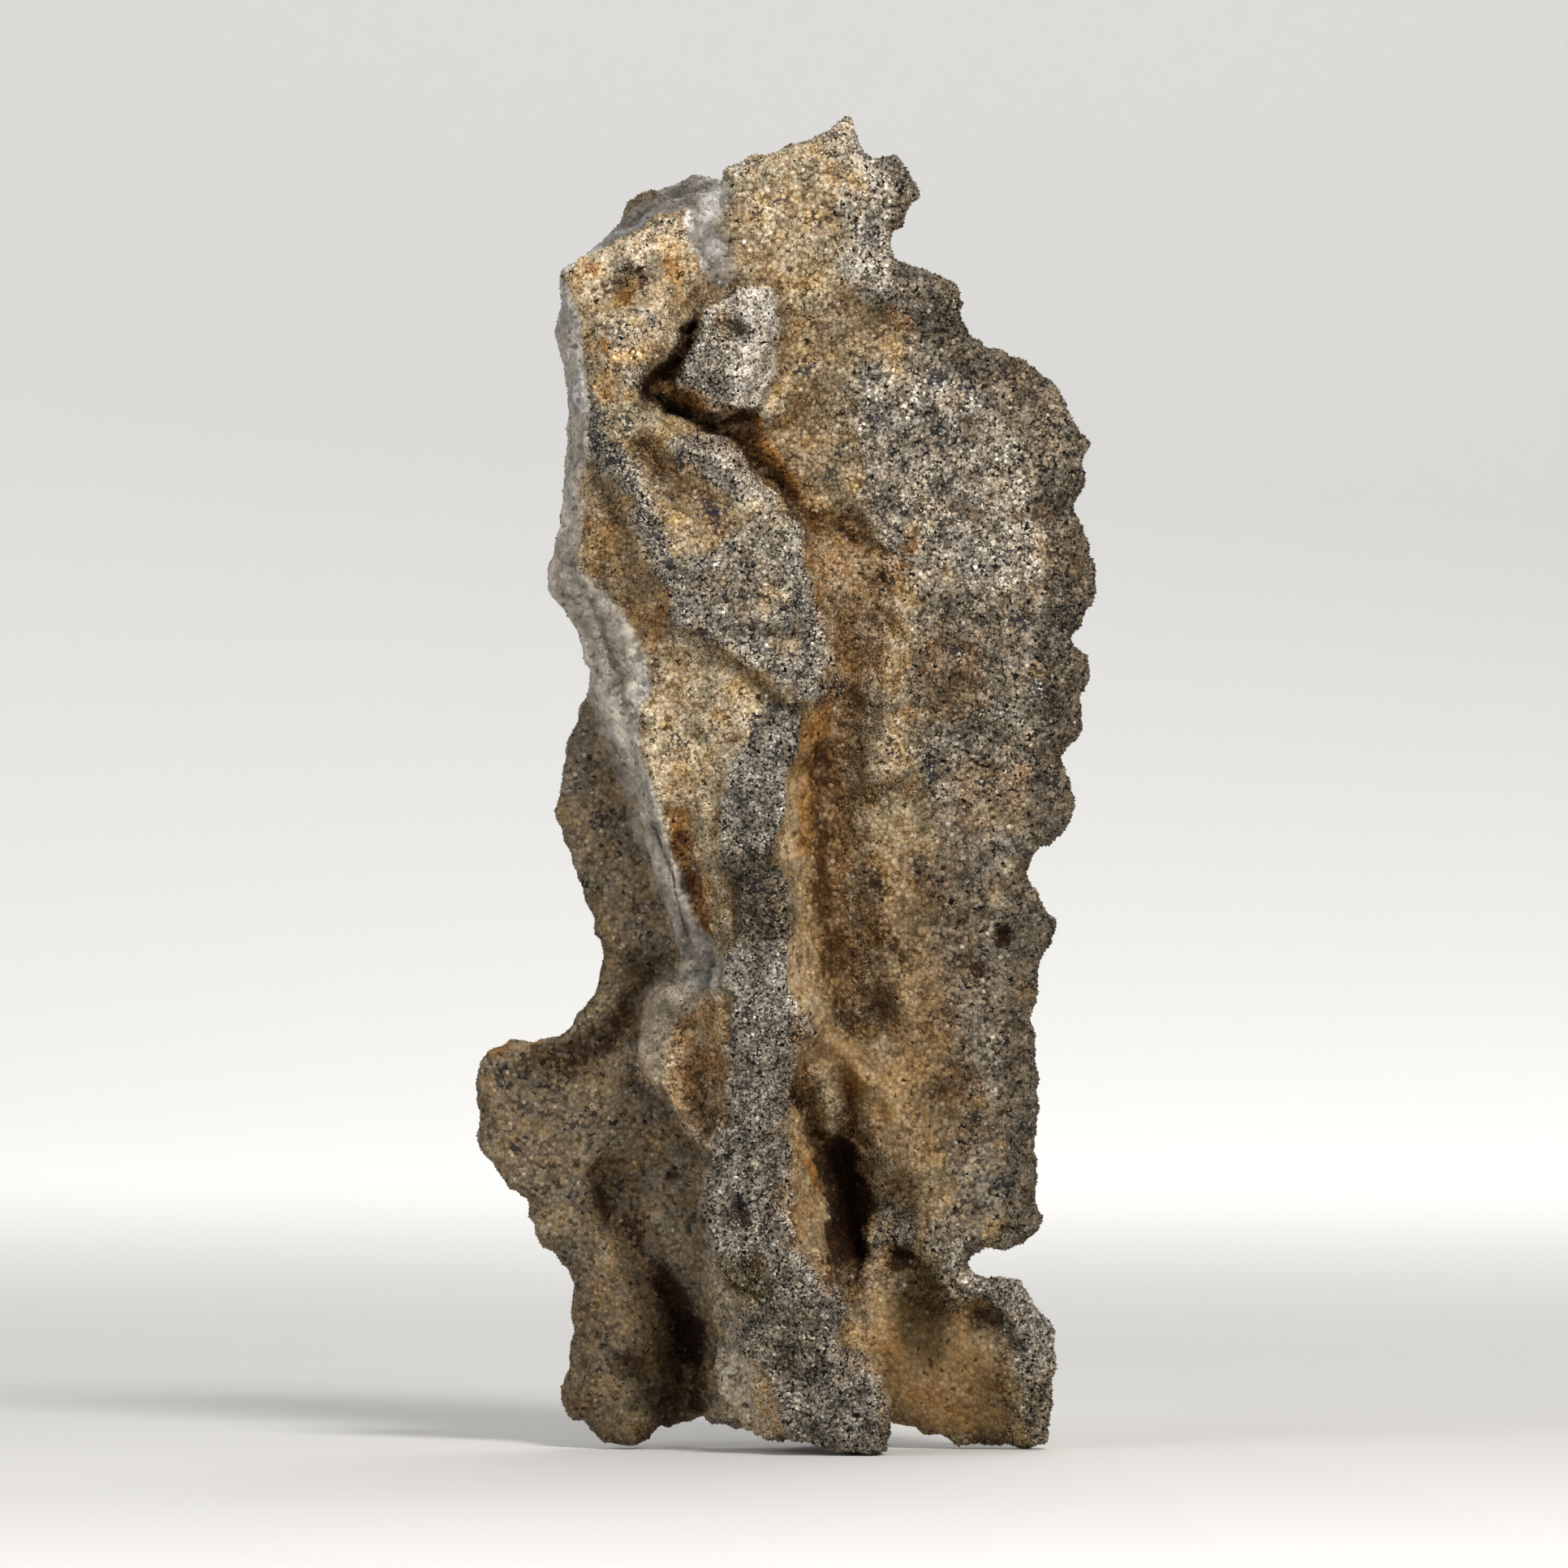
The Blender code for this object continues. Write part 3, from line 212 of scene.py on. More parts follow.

# Rusty, iron-stained sand, and orange-brown painted shade down the groove, in the valleys and in the hollows.
RUST_AND_SHADE_PATCHES = [
    ([(4.0, 26.0), (7.4, 26.4), (8.2, 20.0), (5.4, 17.6), (3.4, 21.0)], 1.0, 0.2),
    ([(1.2, 40.4), (3.0, 40.2), (5.2, 38.0), (4.2, 34.0), (2.8, 31.8), (1.0, 31.0), (2.2, 34.0),
      (1.4, 38.0)], 0.6, 0.42),
    ([(6.0, 35.4), (8.6, 34.4), (8.2, 32.0), (6.2, 32.0)], 0.8, 0.35),
    ([(7.8, 29.8), (10.2, 29.6), (10.0, 27.2), (7.8, 27.4)], 0.8, 0.35),
    ([(3.6, 21.0), (4.6, 18.2), (6.6, 15.8), (8.0, 12.8), (8.4, 15.4), (6.6, 19.4)], 0.8, 0.35),
    ([(-4.9, 19.2), (-2.6, 19.4), (-2.6, 14.4), (-4.4, 14.4), (-5.0, 16.4)], 0.5, 0.42),
    ([(-9.4, 41.4), (-7.9, 41.0), (-7.6, 38.8), (-8.4, 37.8), (-9.6, 38.6)], 0.5, 0.3),
]
RUST_AND_SHADE_LINES = [
    ([(1.4, 31.4), (1.2, 29.8), (1.3, 28.0), (1.2, 26.4)], 0.8, 0.7),
    ([(2.2, 30.6), (1.9, 26.4), (2.2, 22.8), (2.8, 19.4)], 0.95, 0.55),
    ([(-4.6, 27.5), (-4.3, 25.5), (-3.7, 23.5), (-3.3, 22.3)], 0.5, 0.8),
    ([(-2.4, 44.5), (-1.4, 43.6), (-0.4, 42.8), (0.8, 41.6), (1.4, 40.4)], 0.7, 0.7),
    ([(-5.2, 46.4), (-4.4, 45.6), (-3.4, 44.9)], 0.5, 0.8), ([(-8.5, 51.5), (-8.2, 51.5)], 0.3, 0.8),
    ([(-4.9, 51.3), (-4.6, 51.2)], 0.35, 0.6), ([(-3.5, 50.5), (-3.5, 50.1)], 0.2, 0.5),
    ([(-6.95, 50.3), (-6.8, 50.1)], 0.28, 0.8), ([(-7.95, 48.3), (-7.85, 47.8)], 0.28, 0.75),
    ([(-7.85, 45.9), (-7.75, 45.7)], 0.3, 0.6), ([(-6.6, 37.0), (-6.0, 35.4), (-5.6, 33.4)], 0.7, 0.35),
    ([(-5.3, 37.0), (-5.4, 35.6)], 0.3, 0.7), ([(-9.1, 40.6), (-8.6, 40.0)], 0.4, 0.75),
    ([(-4.0, 39.8), (-3.8, 39.6)], 0.25, 0.6), ([(-2.8, 49.2), (-2.5, 48.0)], 0.35, 0.4),
    ([(3.4, 7.0), (4.0, 6.5)], 0.4, 0.6), ([(0.8, 16.6), (1.0, 15.6), (1.5, 14.4)], 0.4, 0.7),
    ([(3.1, 16.0), (2.9, 14.0)], 0.35, 0.7), ([(-5.9, 43.4), (-4.7, 42.2), (-3.0, 40.6)], 0.8, 0.42),
    ([(1.3, 12.7), (1.6, 11.5)], 0.35, 1.0), ([(5.4, 40.0), (5.5, 39.0)], 0.35, 0.6),
    ([(4.9, 38.4), (4.7, 37.8)], 0.3, 0.7), ([(1.6, 32.0), (1.6, 30.6)], 0.6, 0.8),
    ([(-1.4, 44.6), (-0.8, 43.8), (-0.3, 42.9), (0.6, 41.6)], 0.35, 0.9),
    ([(-13.0, 17.5), (-12.2, 17.5)], 0.5, 0.6), ([(-6.9, 18.7), (-6.1, 18.8)], 0.5, 0.7),
    ([(5.3, 40.2), (5.3, 38.5)], 0.3, 0.5), ([(11.3, 40.7), (11.3, 40.3)], 0.35, 0.5),
    ([(4.4, 49.2), (5.2, 48.8)], 0.5, 0.5), ([(4.6, 4.6), (6.2, 2.6), (8.6, 2.2)], 1.8, 0.42),
    ([(1.5, 18.0), (3.0, 17.2), (4.5, 16.0), (5.6, 13.8), (6.0, 12.8)], 1.2, 0.40),
    ([(0.8, 15.0), (0.9, 12.8), (0.6, 10.0), (0.8, 8.8)], 0.9, 0.42),
    ([(0.8, 26.6), (0.9, 21.0), (1.2, 18.0)], 0.8, 0.22), ([(3.4, 10.2), (2.2, 9.0), (2.0, 7.6)], 0.6, 0.5),
]

# Golden sand.
GOLD_LINES = [
    ([(-9.3, 50.8), (-8.4, 51.4)], 0.5, 0.6), ([(-7.0, 50.0), (-6.6, 50.5)], 0.45, 0.7),
    ([(-7.4, 47.3), (-6.4, 47.4), (-5.2, 47.9)], 0.4, 0.6), ([(-4.8, 52.2), (-4.5, 51.0)], 0.5, 0.5),
    ([(-8.8, 48.8), (-8.4, 47.6)], 0.5, 0.5), ([(-8.0, 46.2), (-7.4, 45.6), (-6.8, 45.6)], 0.5, 0.65),
    ([(-2.6, 49.3), (-2.5, 48.4)], 0.3, 0.5), ([(0.2, 49.0), (0.4, 46.6)], 0.6, 0.35),
    ([(0.5, 45.2), (0.0, 44.4)], 0.5, 0.5), ([(-8.8, 42.6), (-8.5, 41.6)], 0.5, 0.4),
    ([(-6.0, 36.6), (-5.6, 35.4)], 0.4, 0.4), ([(2.4, 35.6), (3.0, 34.0)], 0.5, 0.4),
    ([(5.35, 34.5), (5.35, 34.1)], 0.2, 1.0), ([(1.4, 32.2), (1.3, 30.8)], 0.4, 0.5),
    ([(1.3, 12.6), (1.6, 11.6)], 0.3, 0.8), ([(4.6, 16.4), (5.6, 14.4)], 0.5, 0.4),
    ([(5.0, 3.0), (7.0, 1.4), (8.8, 1.6)], 1.0, 0.45), ([(-1.2, 3.4), (-0.4, 2.0)], 0.4, 0.3),
]

# Painted shade, brown to black, where the stone is cut deep: its crevices, pits and slot.
DEEP_PATCHES = [
    ([(2.2, 13.5), (2.7, 13.2), (3.1, 12.7), (2.9, 12.0), (3.5, 11.4), (4.1, 10.9), (3.6, 10.4), (3.0, 9.9),
      (2.8, 9.3), (3.2, 8.7), (2.6, 8.1), (1.9, 8.4), (2.1, 9.0), (1.8, 9.6), (2.1, 10.4), (1.95, 11.0),
      (2.2, 11.6), (1.75, 12.2), (1.6, 12.8)], 0.2, 1.0),
    ([(2.0, 8.6), (3.3, 8.6), (3.1, 7.4), (2.6, 6.6), (2.1, 7.4)], 0.4, 0.6),
    ([(4.7, 8.75), (5.6, 8.5), (5.6, 8.0), (4.9, 8.0)], 0.25, 0.9),
    ([(2.2, 20.0), (3.0, 19.9), (3.4, 19.2), (2.9, 18.8), (2.3, 19.2)], 0.4, 0.4),
]
DEEP_LINES = [
    ([(3.6, 25.6), (4.2, 24.4)], 0.45, 0.4), ([(4.4, 22.4), (5.4, 21.2)], 0.5, 0.42),
    ([(5.8, 24.6), (6.6, 23.6)], 0.45, 0.36), ([(6.2, 19.8), (7.2, 18.4)], 0.45, 0.4),
    ([(7.6, 21.8), (8.2, 20.8)], 0.4, 0.34), ([(3.6, 29.4), (4.0, 28.2)], 0.4, 0.3),
    ([(6.0, 16.6), (6.6, 15.6)], 0.4, 0.32), ([(7.6, 27.6), (8.6, 26.6)], 0.45, 0.3),
    ([(6.4, 33.4), (7.4, 32.6)], 0.4, 0.3), ([(-6.7, 51.3), (-6.1, 51.0), (-5.9, 50.4)], 0.15, 0.4),
    ([(-7.9, 50.7), (-7.6, 50.3)], 0.15, 0.35), ([(-8.3, 49.2), (-8.0, 48.9)], 0.2, 0.4),
    ([(-3.85, 49.0), (-4.3, 48.6), (-4.65, 47.6), (-5.1, 46.8), (-5.8, 46.1)], 0.2, 1.0),
    ([(-5.8, 45.8), (-5.4, 45.5), (-4.7, 45.1), (-3.9, 44.7), (-3.1, 44.3)], 0.3, 0.95),
    ([(-2.6, 44.5), (-1.5, 44.75)], 0.25, 0.75),
    ([(-2.5, 44.2), (-1.7, 43.4), (-1.2, 42.7), (-0.5, 42.2), (0.1, 41.5), (0.4, 40.7),
      (0.9, 40.3)], 0.2, 0.75),
    ([(1.2, 40.6), (1.9, 40.2)], 0.4, 0.5), ([(3.3, 39.6), (4.3, 39.3)], 0.3, 0.35),
    ([(4.3, 37.9), (4.3, 37.7)], 0.3, 0.8), ([(5.2, 37.3), (5.1, 37.0)], 0.3, 0.6),
    ([(0.55, 32.2), (0.5, 30.4)], 0.2, 0.7), ([(-2.4, 50.6), (-2.3, 50.4)], 0.35, 0.9),
    ([(-2.1, 49.0), (-1.75, 48.3)], 0.38, 0.6), ([(-2.9, 8.3), (-2.2, 7.6), (-1.3, 6.9)], 0.4, 0.6),
    ([(-10.3, 16.8), (-8.4, 16.4)], 0.4, 0.55), ([(-7.5, 18.1), (-6.6, 18.0)], 0.35, 0.6),
    ([(-8.4, 37.0), (-7.9, 35.4), (-7.2, 33.8), (-6.9, 32.0), (-6.6, 29.9), (-6.2, 28.2)], 0.12, 0.65),
    ([(-9.15, 38.2), (-9.05, 38.0)], 0.2, 0.6), ([(-8.1, 33.75), (-8.0, 33.65)], 0.16, 0.85),
    ([(-6.2, 43.7), (-5.6, 43.0), (-5.0, 42.1)], 0.45, 0.6), ([(-3.4, 41.6), (-2.6, 40.4)], 0.5, 0.55),
    ([(-6.9, 38.7), (-6.2, 38.4)], 0.25, 0.4), ([(-9.5, 48.8), (-9.3, 48.3)], 0.2, 0.6),
    ([(4.3, 10.1), (4.6, 9.9)], 0.25, 0.5),
    ([(1.8, 30.6), (1.8, 28.2), (1.8, 26.4), (1.8, 24.4), (2.1, 22.8), (2.3, 21.0), (2.5, 19.5),
      (3.0, 18.6)], 0.55, 0.7),
    ([(0.5, 15.2), (0.9, 15.0)], 0.25, 1.0),
    ([(0.9, 15.0), (1.4, 13.9), (1.7, 13.3), (2.2, 13.0)], 0.28, 0.7),
    ([(1.4, 13.7), (1.6, 13.4)], 0.25, 1.0), ([(3.0, 15.6), (2.9, 14.2)], 0.3, 0.4),
    ([(0.8, 16.2), (1.4, 15.6)], 0.35, 0.5), ([(8.2, 5.5), (9.0, 5.4)], 0.4, 0.7),
    ([(-5.5, 7.4), (-4.9, 6.3), (-4.2, 5.2), (-4.0, 3.6), (-3.8, 1.8)], 0.6, 0.85),
    ([(-4.05, 5.2), (-4.0, 4.4)], 0.5, 1.0),
    ([(-7.7, 11.9), (-7.8, 9.9), (-6.7, 9.8), (-6.5, 8.6)], 0.55, 0.6),
    ([(-5.0, 11.8), (-4.8, 11.8)], 0.3, 0.7),
    ([(-6.0, 20.4), (-6.8, 19.0), (-7.4, 17.8), (-9.0, 16.8), (-10.2, 16.4)], 0.5, 0.65),
    ([(-6.9, 3.7), (-6.4, 3.7)], 0.6, 0.5), ([(-1.9, 10.5), (-1.7, 10.1)], 0.35, 0.85),
    ([(-1.0, 8.5), (-1.0, 8.3)], 0.3, 0.8), ([(9.4, 22.4), (9.4, 22.2)], 0.32, 0.9),
    ([(2.6, 40.0), (3.0, 39.8)], 0.28, 0.6), ([(2.4, 31.6), (2.6, 31.4)], 0.25, 0.8),
    ([(2.3, 28.3), (2.3, 28.0)], 0.35, 0.9), ([(-3.85, 21.0), (-3.75, 20.8)], 0.25, 0.7),
    ([(3.4, 49.0), (5.4, 48.5)], 0.4, 0.4), ([(-3.7, 41.2), (-3.2, 41.0)], 0.4, 0.5),
    ([(-3.6, 15.8), (-3.2, 14.2)], 0.5, 0.4), ([(-4.5, 26.8), (-4.1, 24.8)], 0.2, 0.35),
]

# Dark green-grey, low on the stone and in its low valleys; the first patch is painted shade in the shallow
# pit of the upper panel.
OLIVE_PATCHES = [
    ([(-7.9, 50.9), (-6.4, 51.2), (-5.7, 50.2), (-6.4, 49.3), (-7.6, 49.5)], 0.5, 0.4),
    ([(-7.4, 4.0), (-6.0, 3.8), (-6.0, 3.1), (-7.2, 3.1)], 0.3, 0.8),
    ([(-7.2, 21.0), (-5.9, 20.8), (-5.9, 19.9), (-6.8, 19.8)], 0.4, 0.7),
    ([(5.2, 8.0), (6.2, 8.0), (6.8, 5.8), (6.6, 4.2), (5.4, 4.6)], 0.6, 0.95),
    ([(-2.6, 8.6), (-0.9, 8.2), (-0.5, 7.0), (-1.4, 6.6), (-2.4, 7.2)], 0.4, 0.85),
    ([(-1.4, 6.4), (0.8, 6.6), (1.6, 4.2), (-0.6, 3.4), (-1.6, 4.6)], 0.7, 0.45),
    ([(8.6, 3.0), (11.6, 2.6), (11.8, 0.2), (8.4, 0.4)], 0.8, 0.6),
    ([(-9.4, 2.2), (-5.0, 1.8), (-4.6, 0.0), (-8.4, 0.0)], 0.8, 0.45),
    ([(-8.4, 21.6), (-6.0, 21.0), (-5.6, 18.6), (-8.4, 18.4), (-9.4, 18.8)], 0.8, 0.45),
]

# Bright, clean sand. The first patch is partly painted light, where the slope right of the top panel turns
# away from the lamps.
PALE_PATCHES = [
    ([(3.2, 56.4), (4.4, 55.6), (4.5, 53.0), (4.2, 50.4), (3.0, 50.6)], 0.5, 0.7),
    ([(-9.4, 51.2), (-6.5, 53.2), (-5.4, 53.8), (-4.3, 53.5), (-3.8, 51.6), (-5.0, 50.9), (-6.8, 51.6),
      (-8.6, 50.6)], 0.5, 0.95),
    ([(-5.9, 34.6), (-4.6, 35.2), (-1.4, 32.6), (-2.2, 30.0), (-2.9, 27.6), (-4.9, 28.2),
      (-6.1, 31.0)], 0.45, 1.0),
    ([(-2.6, 55.6), (2.9, 57.6), (3.4, 54.4), (2.6, 50.6), (-0.6, 50.8), (-2.4, 52.6)], 0.9, 0.45),
    ([(-9.0, 50.8), (-5.2, 51.0), (-5.0, 49.2), (-6.0, 46.6), (-8.6, 45.4)], 1.0, 0.7),
    ([(-6.0, 49.2), (-4.9, 49.0), (-5.6, 47.2), (-6.6, 46.2), (-7.6, 46.0)], 0.4, 0.6),
    (UPPER_PANEL, 1.5, 0.5), ([(2.0, 39.4), (5.0, 38.6), (4.6, 33.0), (2.6, 31.6), (2.4, 35.0)], 0.6, 0.6),
    ([(9.5, 46.4), (12.6, 45.6), (13.2, 42.6), (10.0, 42.4)], 0.8, 0.5),
    ([(7.0, 40.0), (11.4, 40.2), (11.4, 37.2), (7.4, 37.4)], 0.8, 0.7),
    ([(4.4, 5.2), (9.0, 4.6), (9.4, 1.0), (4.6, 1.0)], 0.6, 0.55),
    ([(0.9, 18.6), (2.4, 18.2), (4.6, 17.0), (6.2, 13.4), (5.2, 12.4), (4.2, 14.8),
      (1.6, 16.6)], 0.4, 0.45),
    ([(-2.9, 4.4), (-1.0, 4.0), (-0.4, 2.6), (-0.6, 1.4), (-2.6, 1.3)], 0.4, 0.8),
    ([(6.2, 9.8), (8.4, 9.6), (8.6, 6.4), (7.2, 6.2)], 0.5, 0.4), (KNOB, 0.15, 0.38), (FIN_TOP, 0.5, 0.6),
    (FLAP_RIM, 0.1, 0.4), (FLAP, 0.7, 0.4),
]
PALE_LINES = [
    ([(-6.2, 49.4), (-5.6, 48.9)], 0.25, 0.8),
    ([(-8.4, 44.0), (-7.2, 42.7), (-6.1, 41.6), (-6.2, 40.2), (-5.4, 38.8)], 0.6, 0.6),
    ([(0.3, 28.4), (0.3, 25.0), (0.6, 21.0), (1.2, 18.4)], 0.6, 1.0),
    ([(0.8, 15.0), (0.9, 12.8), (0.6, 10.0), (0.8, 8.8)], 0.7, 0.6),
    ([(4.8, 3.6), (6.0, 2.0), (8.0, 1.6)], 1.2, 0.45), ([(-2.1, 3.6), (-1.2, 2.6)], 0.6, 0.5),
    ([(-3.2, 54.6), (-3.1, 52.2)], 0.45, 1.0), ([(-3.2, 20.4), (-4.4, 20.2), (-5.2, 19.4)], 0.3, 0.6),
    (KNOB_FACE, 0.8, 1.0), ([(-1.5, 49.6), (-0.8, 47.6), (-1.8, 45.8)], 0.7, 0.5),
]

# Fine sand that lies smooth, with small grains well sunk in.
SMOOTH_PATCHES = [
    ([(0.0, 31.4), (1.8, 31.0), (2.0, 24.0), (2.4, 19.4), (1.2, 17.0), (0.2, 17.4),
      (0.4, 24.0)], 0.8, 0.55),
    ([(4.2, 6.4), (8.8, 5.0), (9.0, 1.0), (4.8, 1.0)], 0.8, 0.75),
    ([(5.0, 27.0), (11.6, 27.0), (11.4, 10.0), (6.0, 10.0)], 2.0, 0.3),
    ([(0.8, 18.6), (2.4, 18.2), (4.6, 16.8), (5.8, 14.0), (5.2, 12.4), (4.2, 14.2), (1.6, 16.4)], 0.7, 0.6),
    ([(0.0, 15.4), (1.6, 13.4), (2.0, 9.0), (0.4, 8.6), (-0.2, 12.0)], 0.4, 0.5),
    (BACK_LEFT_SHEET, 1.0, 0.6),
]

# Painted shade: sand and glass painted darker where the stone lies in its own shade, as on the back-left
# sheet behind the crest and low on the stone.
GRIME_AND_SHADE_PATCHES = [
    (BACK_LEFT_SHEET[:8] + [(-6.0, -0.4), (-3.6, 0.6), (-3.4, 5.4), (-4.0, 7.4),
      (-3.6, 9.4)] + BACK_LEFT_SHEET[12:], 0.8, 0.74),
    ([(-9.8, 8.0), (-4.8, 7.4), (-4.2, 0.0), (-9.8, 0.0)], 0.5, 0.9),
    ([(-6.2, 26.5), (-4.6, 26.5), (-3.0, 22.4), (-2.7, 20.8), (-4.6, 20.6), (-5.4, 23.0)], 0.8, 0.4),
    ([(5.0, 44.0), (12.0, 46.0), (14.2, 40.0), (14.2, 24.0), (5.0, 20.0), (5.4, 34.0)], 2.0, 0.12),
    (RIGHT_RIM[4:-3], 0.8, 0.8),
    ([(4.4, 56.6), (6.4, 55.6), (6.6, 53.8), (5.0, 52.4), (8.4, 50.8), (5.8, 49.8), (4.8, 51.0),
      (4.8, 54.2)], 0.5, 0.62),
    ([(9.8, 24.0), (13.4, 24.0), (12.8, 8.8), (9.8, 9.2)], 0.6, 0.85),
    (RIDGE_EDGE[:6] + [(-4.6, 37.6), (-5.4, 39.4), (-6.0, 41.4), (-7.4, 43.4), (-8.4, 44.6)], 0.3, 0.5),
    ([(-9.4, 42.2), (-8.2, 42.0), (-6.6, 38.6), (-5.2, 35.6), (-6.2, 35.8), (-9.2, 38.6)], 0.4, 0.36),
    ([(-3.8, 20.0), (1.2, 20.0), (2.6, 6.0), (4.6, 0.0), (-2.0, 0.0), (-2.0, 7.0),
      (-3.8, 11.0)], 0.5, 0.22),
    ([(-8.8, 52.3), (-8.6, 53.6), (-6.6, 54.9), (-5.0, 56.0), (-3.2, 56.4), (-3.5, 54.6), (-4.1, 53.9),
      (-5.2, 53.7), (-6.7, 53.0)], 0.4, 0.88),
    (STUB_GLASS, 0.4, 0.7), (LEFT_STRIP, 0.4, 0.5), (LOW_STRIP, 0.3, 0.6),
    ([(-3.7, 56.4), (-2.5, 56.4), (-2.5, 55.2), (-3.8, 54.9)], 0.3, 0.85),
    ([(-3.8, 55.0), (-2.6, 55.2), (-2.4, 51.2), (-3.8, 52.4)], 0.3, 0.5),
    ([(-4.9, 23.4), (-3.9, 23.6), (-2.6, 21.4), (-2.9, 20.4), (-4.8, 20.4)], 0.4, 0.7),
    ([(-10.8, 38.2), (-9.4, 35.0), (-8.0, 31.8), (-7.2, 33.0), (-7.2, 35.8), (-9.6, 38.4)], 0.8, 0.55),
    ([(-8.4, 36.6), (-6.8, 35.6), (-6.6, 33.6), (-7.4, 32.6), (-8.2, 33.4)], 0.4, 0.25),
    ([(-4.9, 23.0), (-7.0, 29.0), (-6.6, 33.0), (-6.0, 33.0), (-5.8, 28.4), (-4.1, 24.0)], 0.3, 0.3),
    ([(-2.5, 25.8), (-0.6, 25.8), (0.5, 24.6), (0.3, 22.8), (-0.2, 22.3), (-2.2, 22.5)], 0.5, 0.95),
    ([(4.6, 8.8), (6.2, 8.0), (8.8, 5.6), (9.4, 4.0), (4.8, 4.2)], 0.8, 0.6),
    ([(4.6, 4.2), (9.4, 4.0), (9.6, 0.0), (4.8, 0.0)], 0.8, 0.8),
    ([(1.0, 18.8), (3.0, 18.2), (5.2, 15.8), (6.4, 13.0), (5.0, 12.6), (3.4, 15.2),
      (1.4, 16.6)], 0.6, 0.52),
    ([(4.4, 25.0), (13.4, 26.0), (12.8, 8.6), (6.4, 9.6), (5.8, 15.0)], 3.0, 0.34),
    ([(4.6, 24.0), (9.0, 24.0), (9.0, 18.0), (6.0, 17.6)], 1.0, 0.5),
    ([(3.4, 21.4), (4.4, 18.4), (6.4, 15.6), (7.6, 12.6), (8.8, 13.4), (8.0, 17.4),
      (6.4, 21.4)], 0.8, 0.18),
    ([(5.4, 35.0), (7.4, 36.0), (8.6, 34.0), (8.0, 31.6), (6.4, 31.6)], 0.8, 0.4),
    ([(-0.2, 49.6), (3.6, 49.4), (4.0, 43.6), (0.8, 41.8), (-1.4, 44.6)], 1.0, 0.19),
    ([(-8.6, 49.4), (-5.0, 49.4), (-5.4, 46.4), (-8.4, 45.0)], 0.8, 0.1), (FLAP, 0.5, 0.14),
    ([(-2.6, 28.0), (0.4, 28.0), (0.8, 32.4), (-1.2, 32.6)], 0.4, 0.16),
]
GRIME_AND_SHADE_LINES = [
    ([(2.5, 13.0), (2.7, 9.6), (2.6, 7.4)], 0.6, 0.6), ([(-5.5, 7.4), (-4.4, 5.4), (-3.9, 1.8)], 1.1, 0.7),
]

# Small soft spots of blue-black grains: x, z, radius.
INKY_SPOTS = [
    (-8.2, 43.8, 0.4), (-7.4, 42.9, 0.4), (-6.7, 42.1, 0.4), (-6.3, 40.6, 0.35), (-5.7, 39.6, 0.35),
    (-5.1, 38.7, 0.35), (-4.4, 43.0, 0.4), (6.6, 46.5, 0.5), (7.9, 46.2, 0.35), (6.3, 29.4, 0.25),
    (3.9, 24.7, 0.25), (-3.0, 40.8, 0.5), (11.6, 44.6, 0.4), (11.0, 42.8, 0.4), (12.4, 36.4, 0.4),
    (11.6, 23.0, 0.4), (10.6, 14.0, 0.4), (11.4, 17.4, 0.4), (4.8, 30.3, 0.45), (-9.7, 48.2, 0.4),
    (7.2, 34.4, 0.35), (8.4, 41.2, 0.3), (3.8, 44.8, 0.35), (0.9, 46.9, 0.3), (6.6, 44.2, 0.4),
    (10.2, 36.0, 0.4), (5.8, 25.4, 0.3), (8.6, 28.8, 0.35), (2.5, 43.4, 0.35), (-1.6, 31.6, 0.35),
    (-4.6, 30.6, 0.3), (-8.0, 34.6, 0.3), (-9.6, 36.2, 0.3), (1.2, 53.2, 0.3), (-0.2, 54.4, 0.3),
    (-1.2, 53.6, 0.25), (-1.6, 52.5, 0.2), (2.4, 55.4, 0.3), (3.4, 52.8, 0.35), (2.0, 42.2, 0.3),
    (-6.9, 44.2, 0.45), (-7.9, 44.8, 0.4), (-1.3, 24.6, 0.6), (-0.4, 23.2, 0.5), (-1.8, 10.6, 0.5),
    (10.9, 33.0, 0.45), (11.6, 29.2, 0.4), (4.4, 37.6, 0.3), (-12.4, 16.2, 0.45), (-11.6, 13.0, 0.4),
    (-9.2, 14.4, 0.3), (-8.8, 24.4, 0.3), (-7.8, 27.4, 0.3), (6.4, 18.6, 0.35), (8.2, 14.4, 0.35),
    (9.6, 11.4, 0.4), (9.6, 17.4, 0.4), (11.0, 20.4, 0.4), (9.8, 26.4, 0.35), (-5.2, 38.4, 0.4),
    (0.6, 36.8, 0.4), (-0.4, 30.4, 0.4),
]

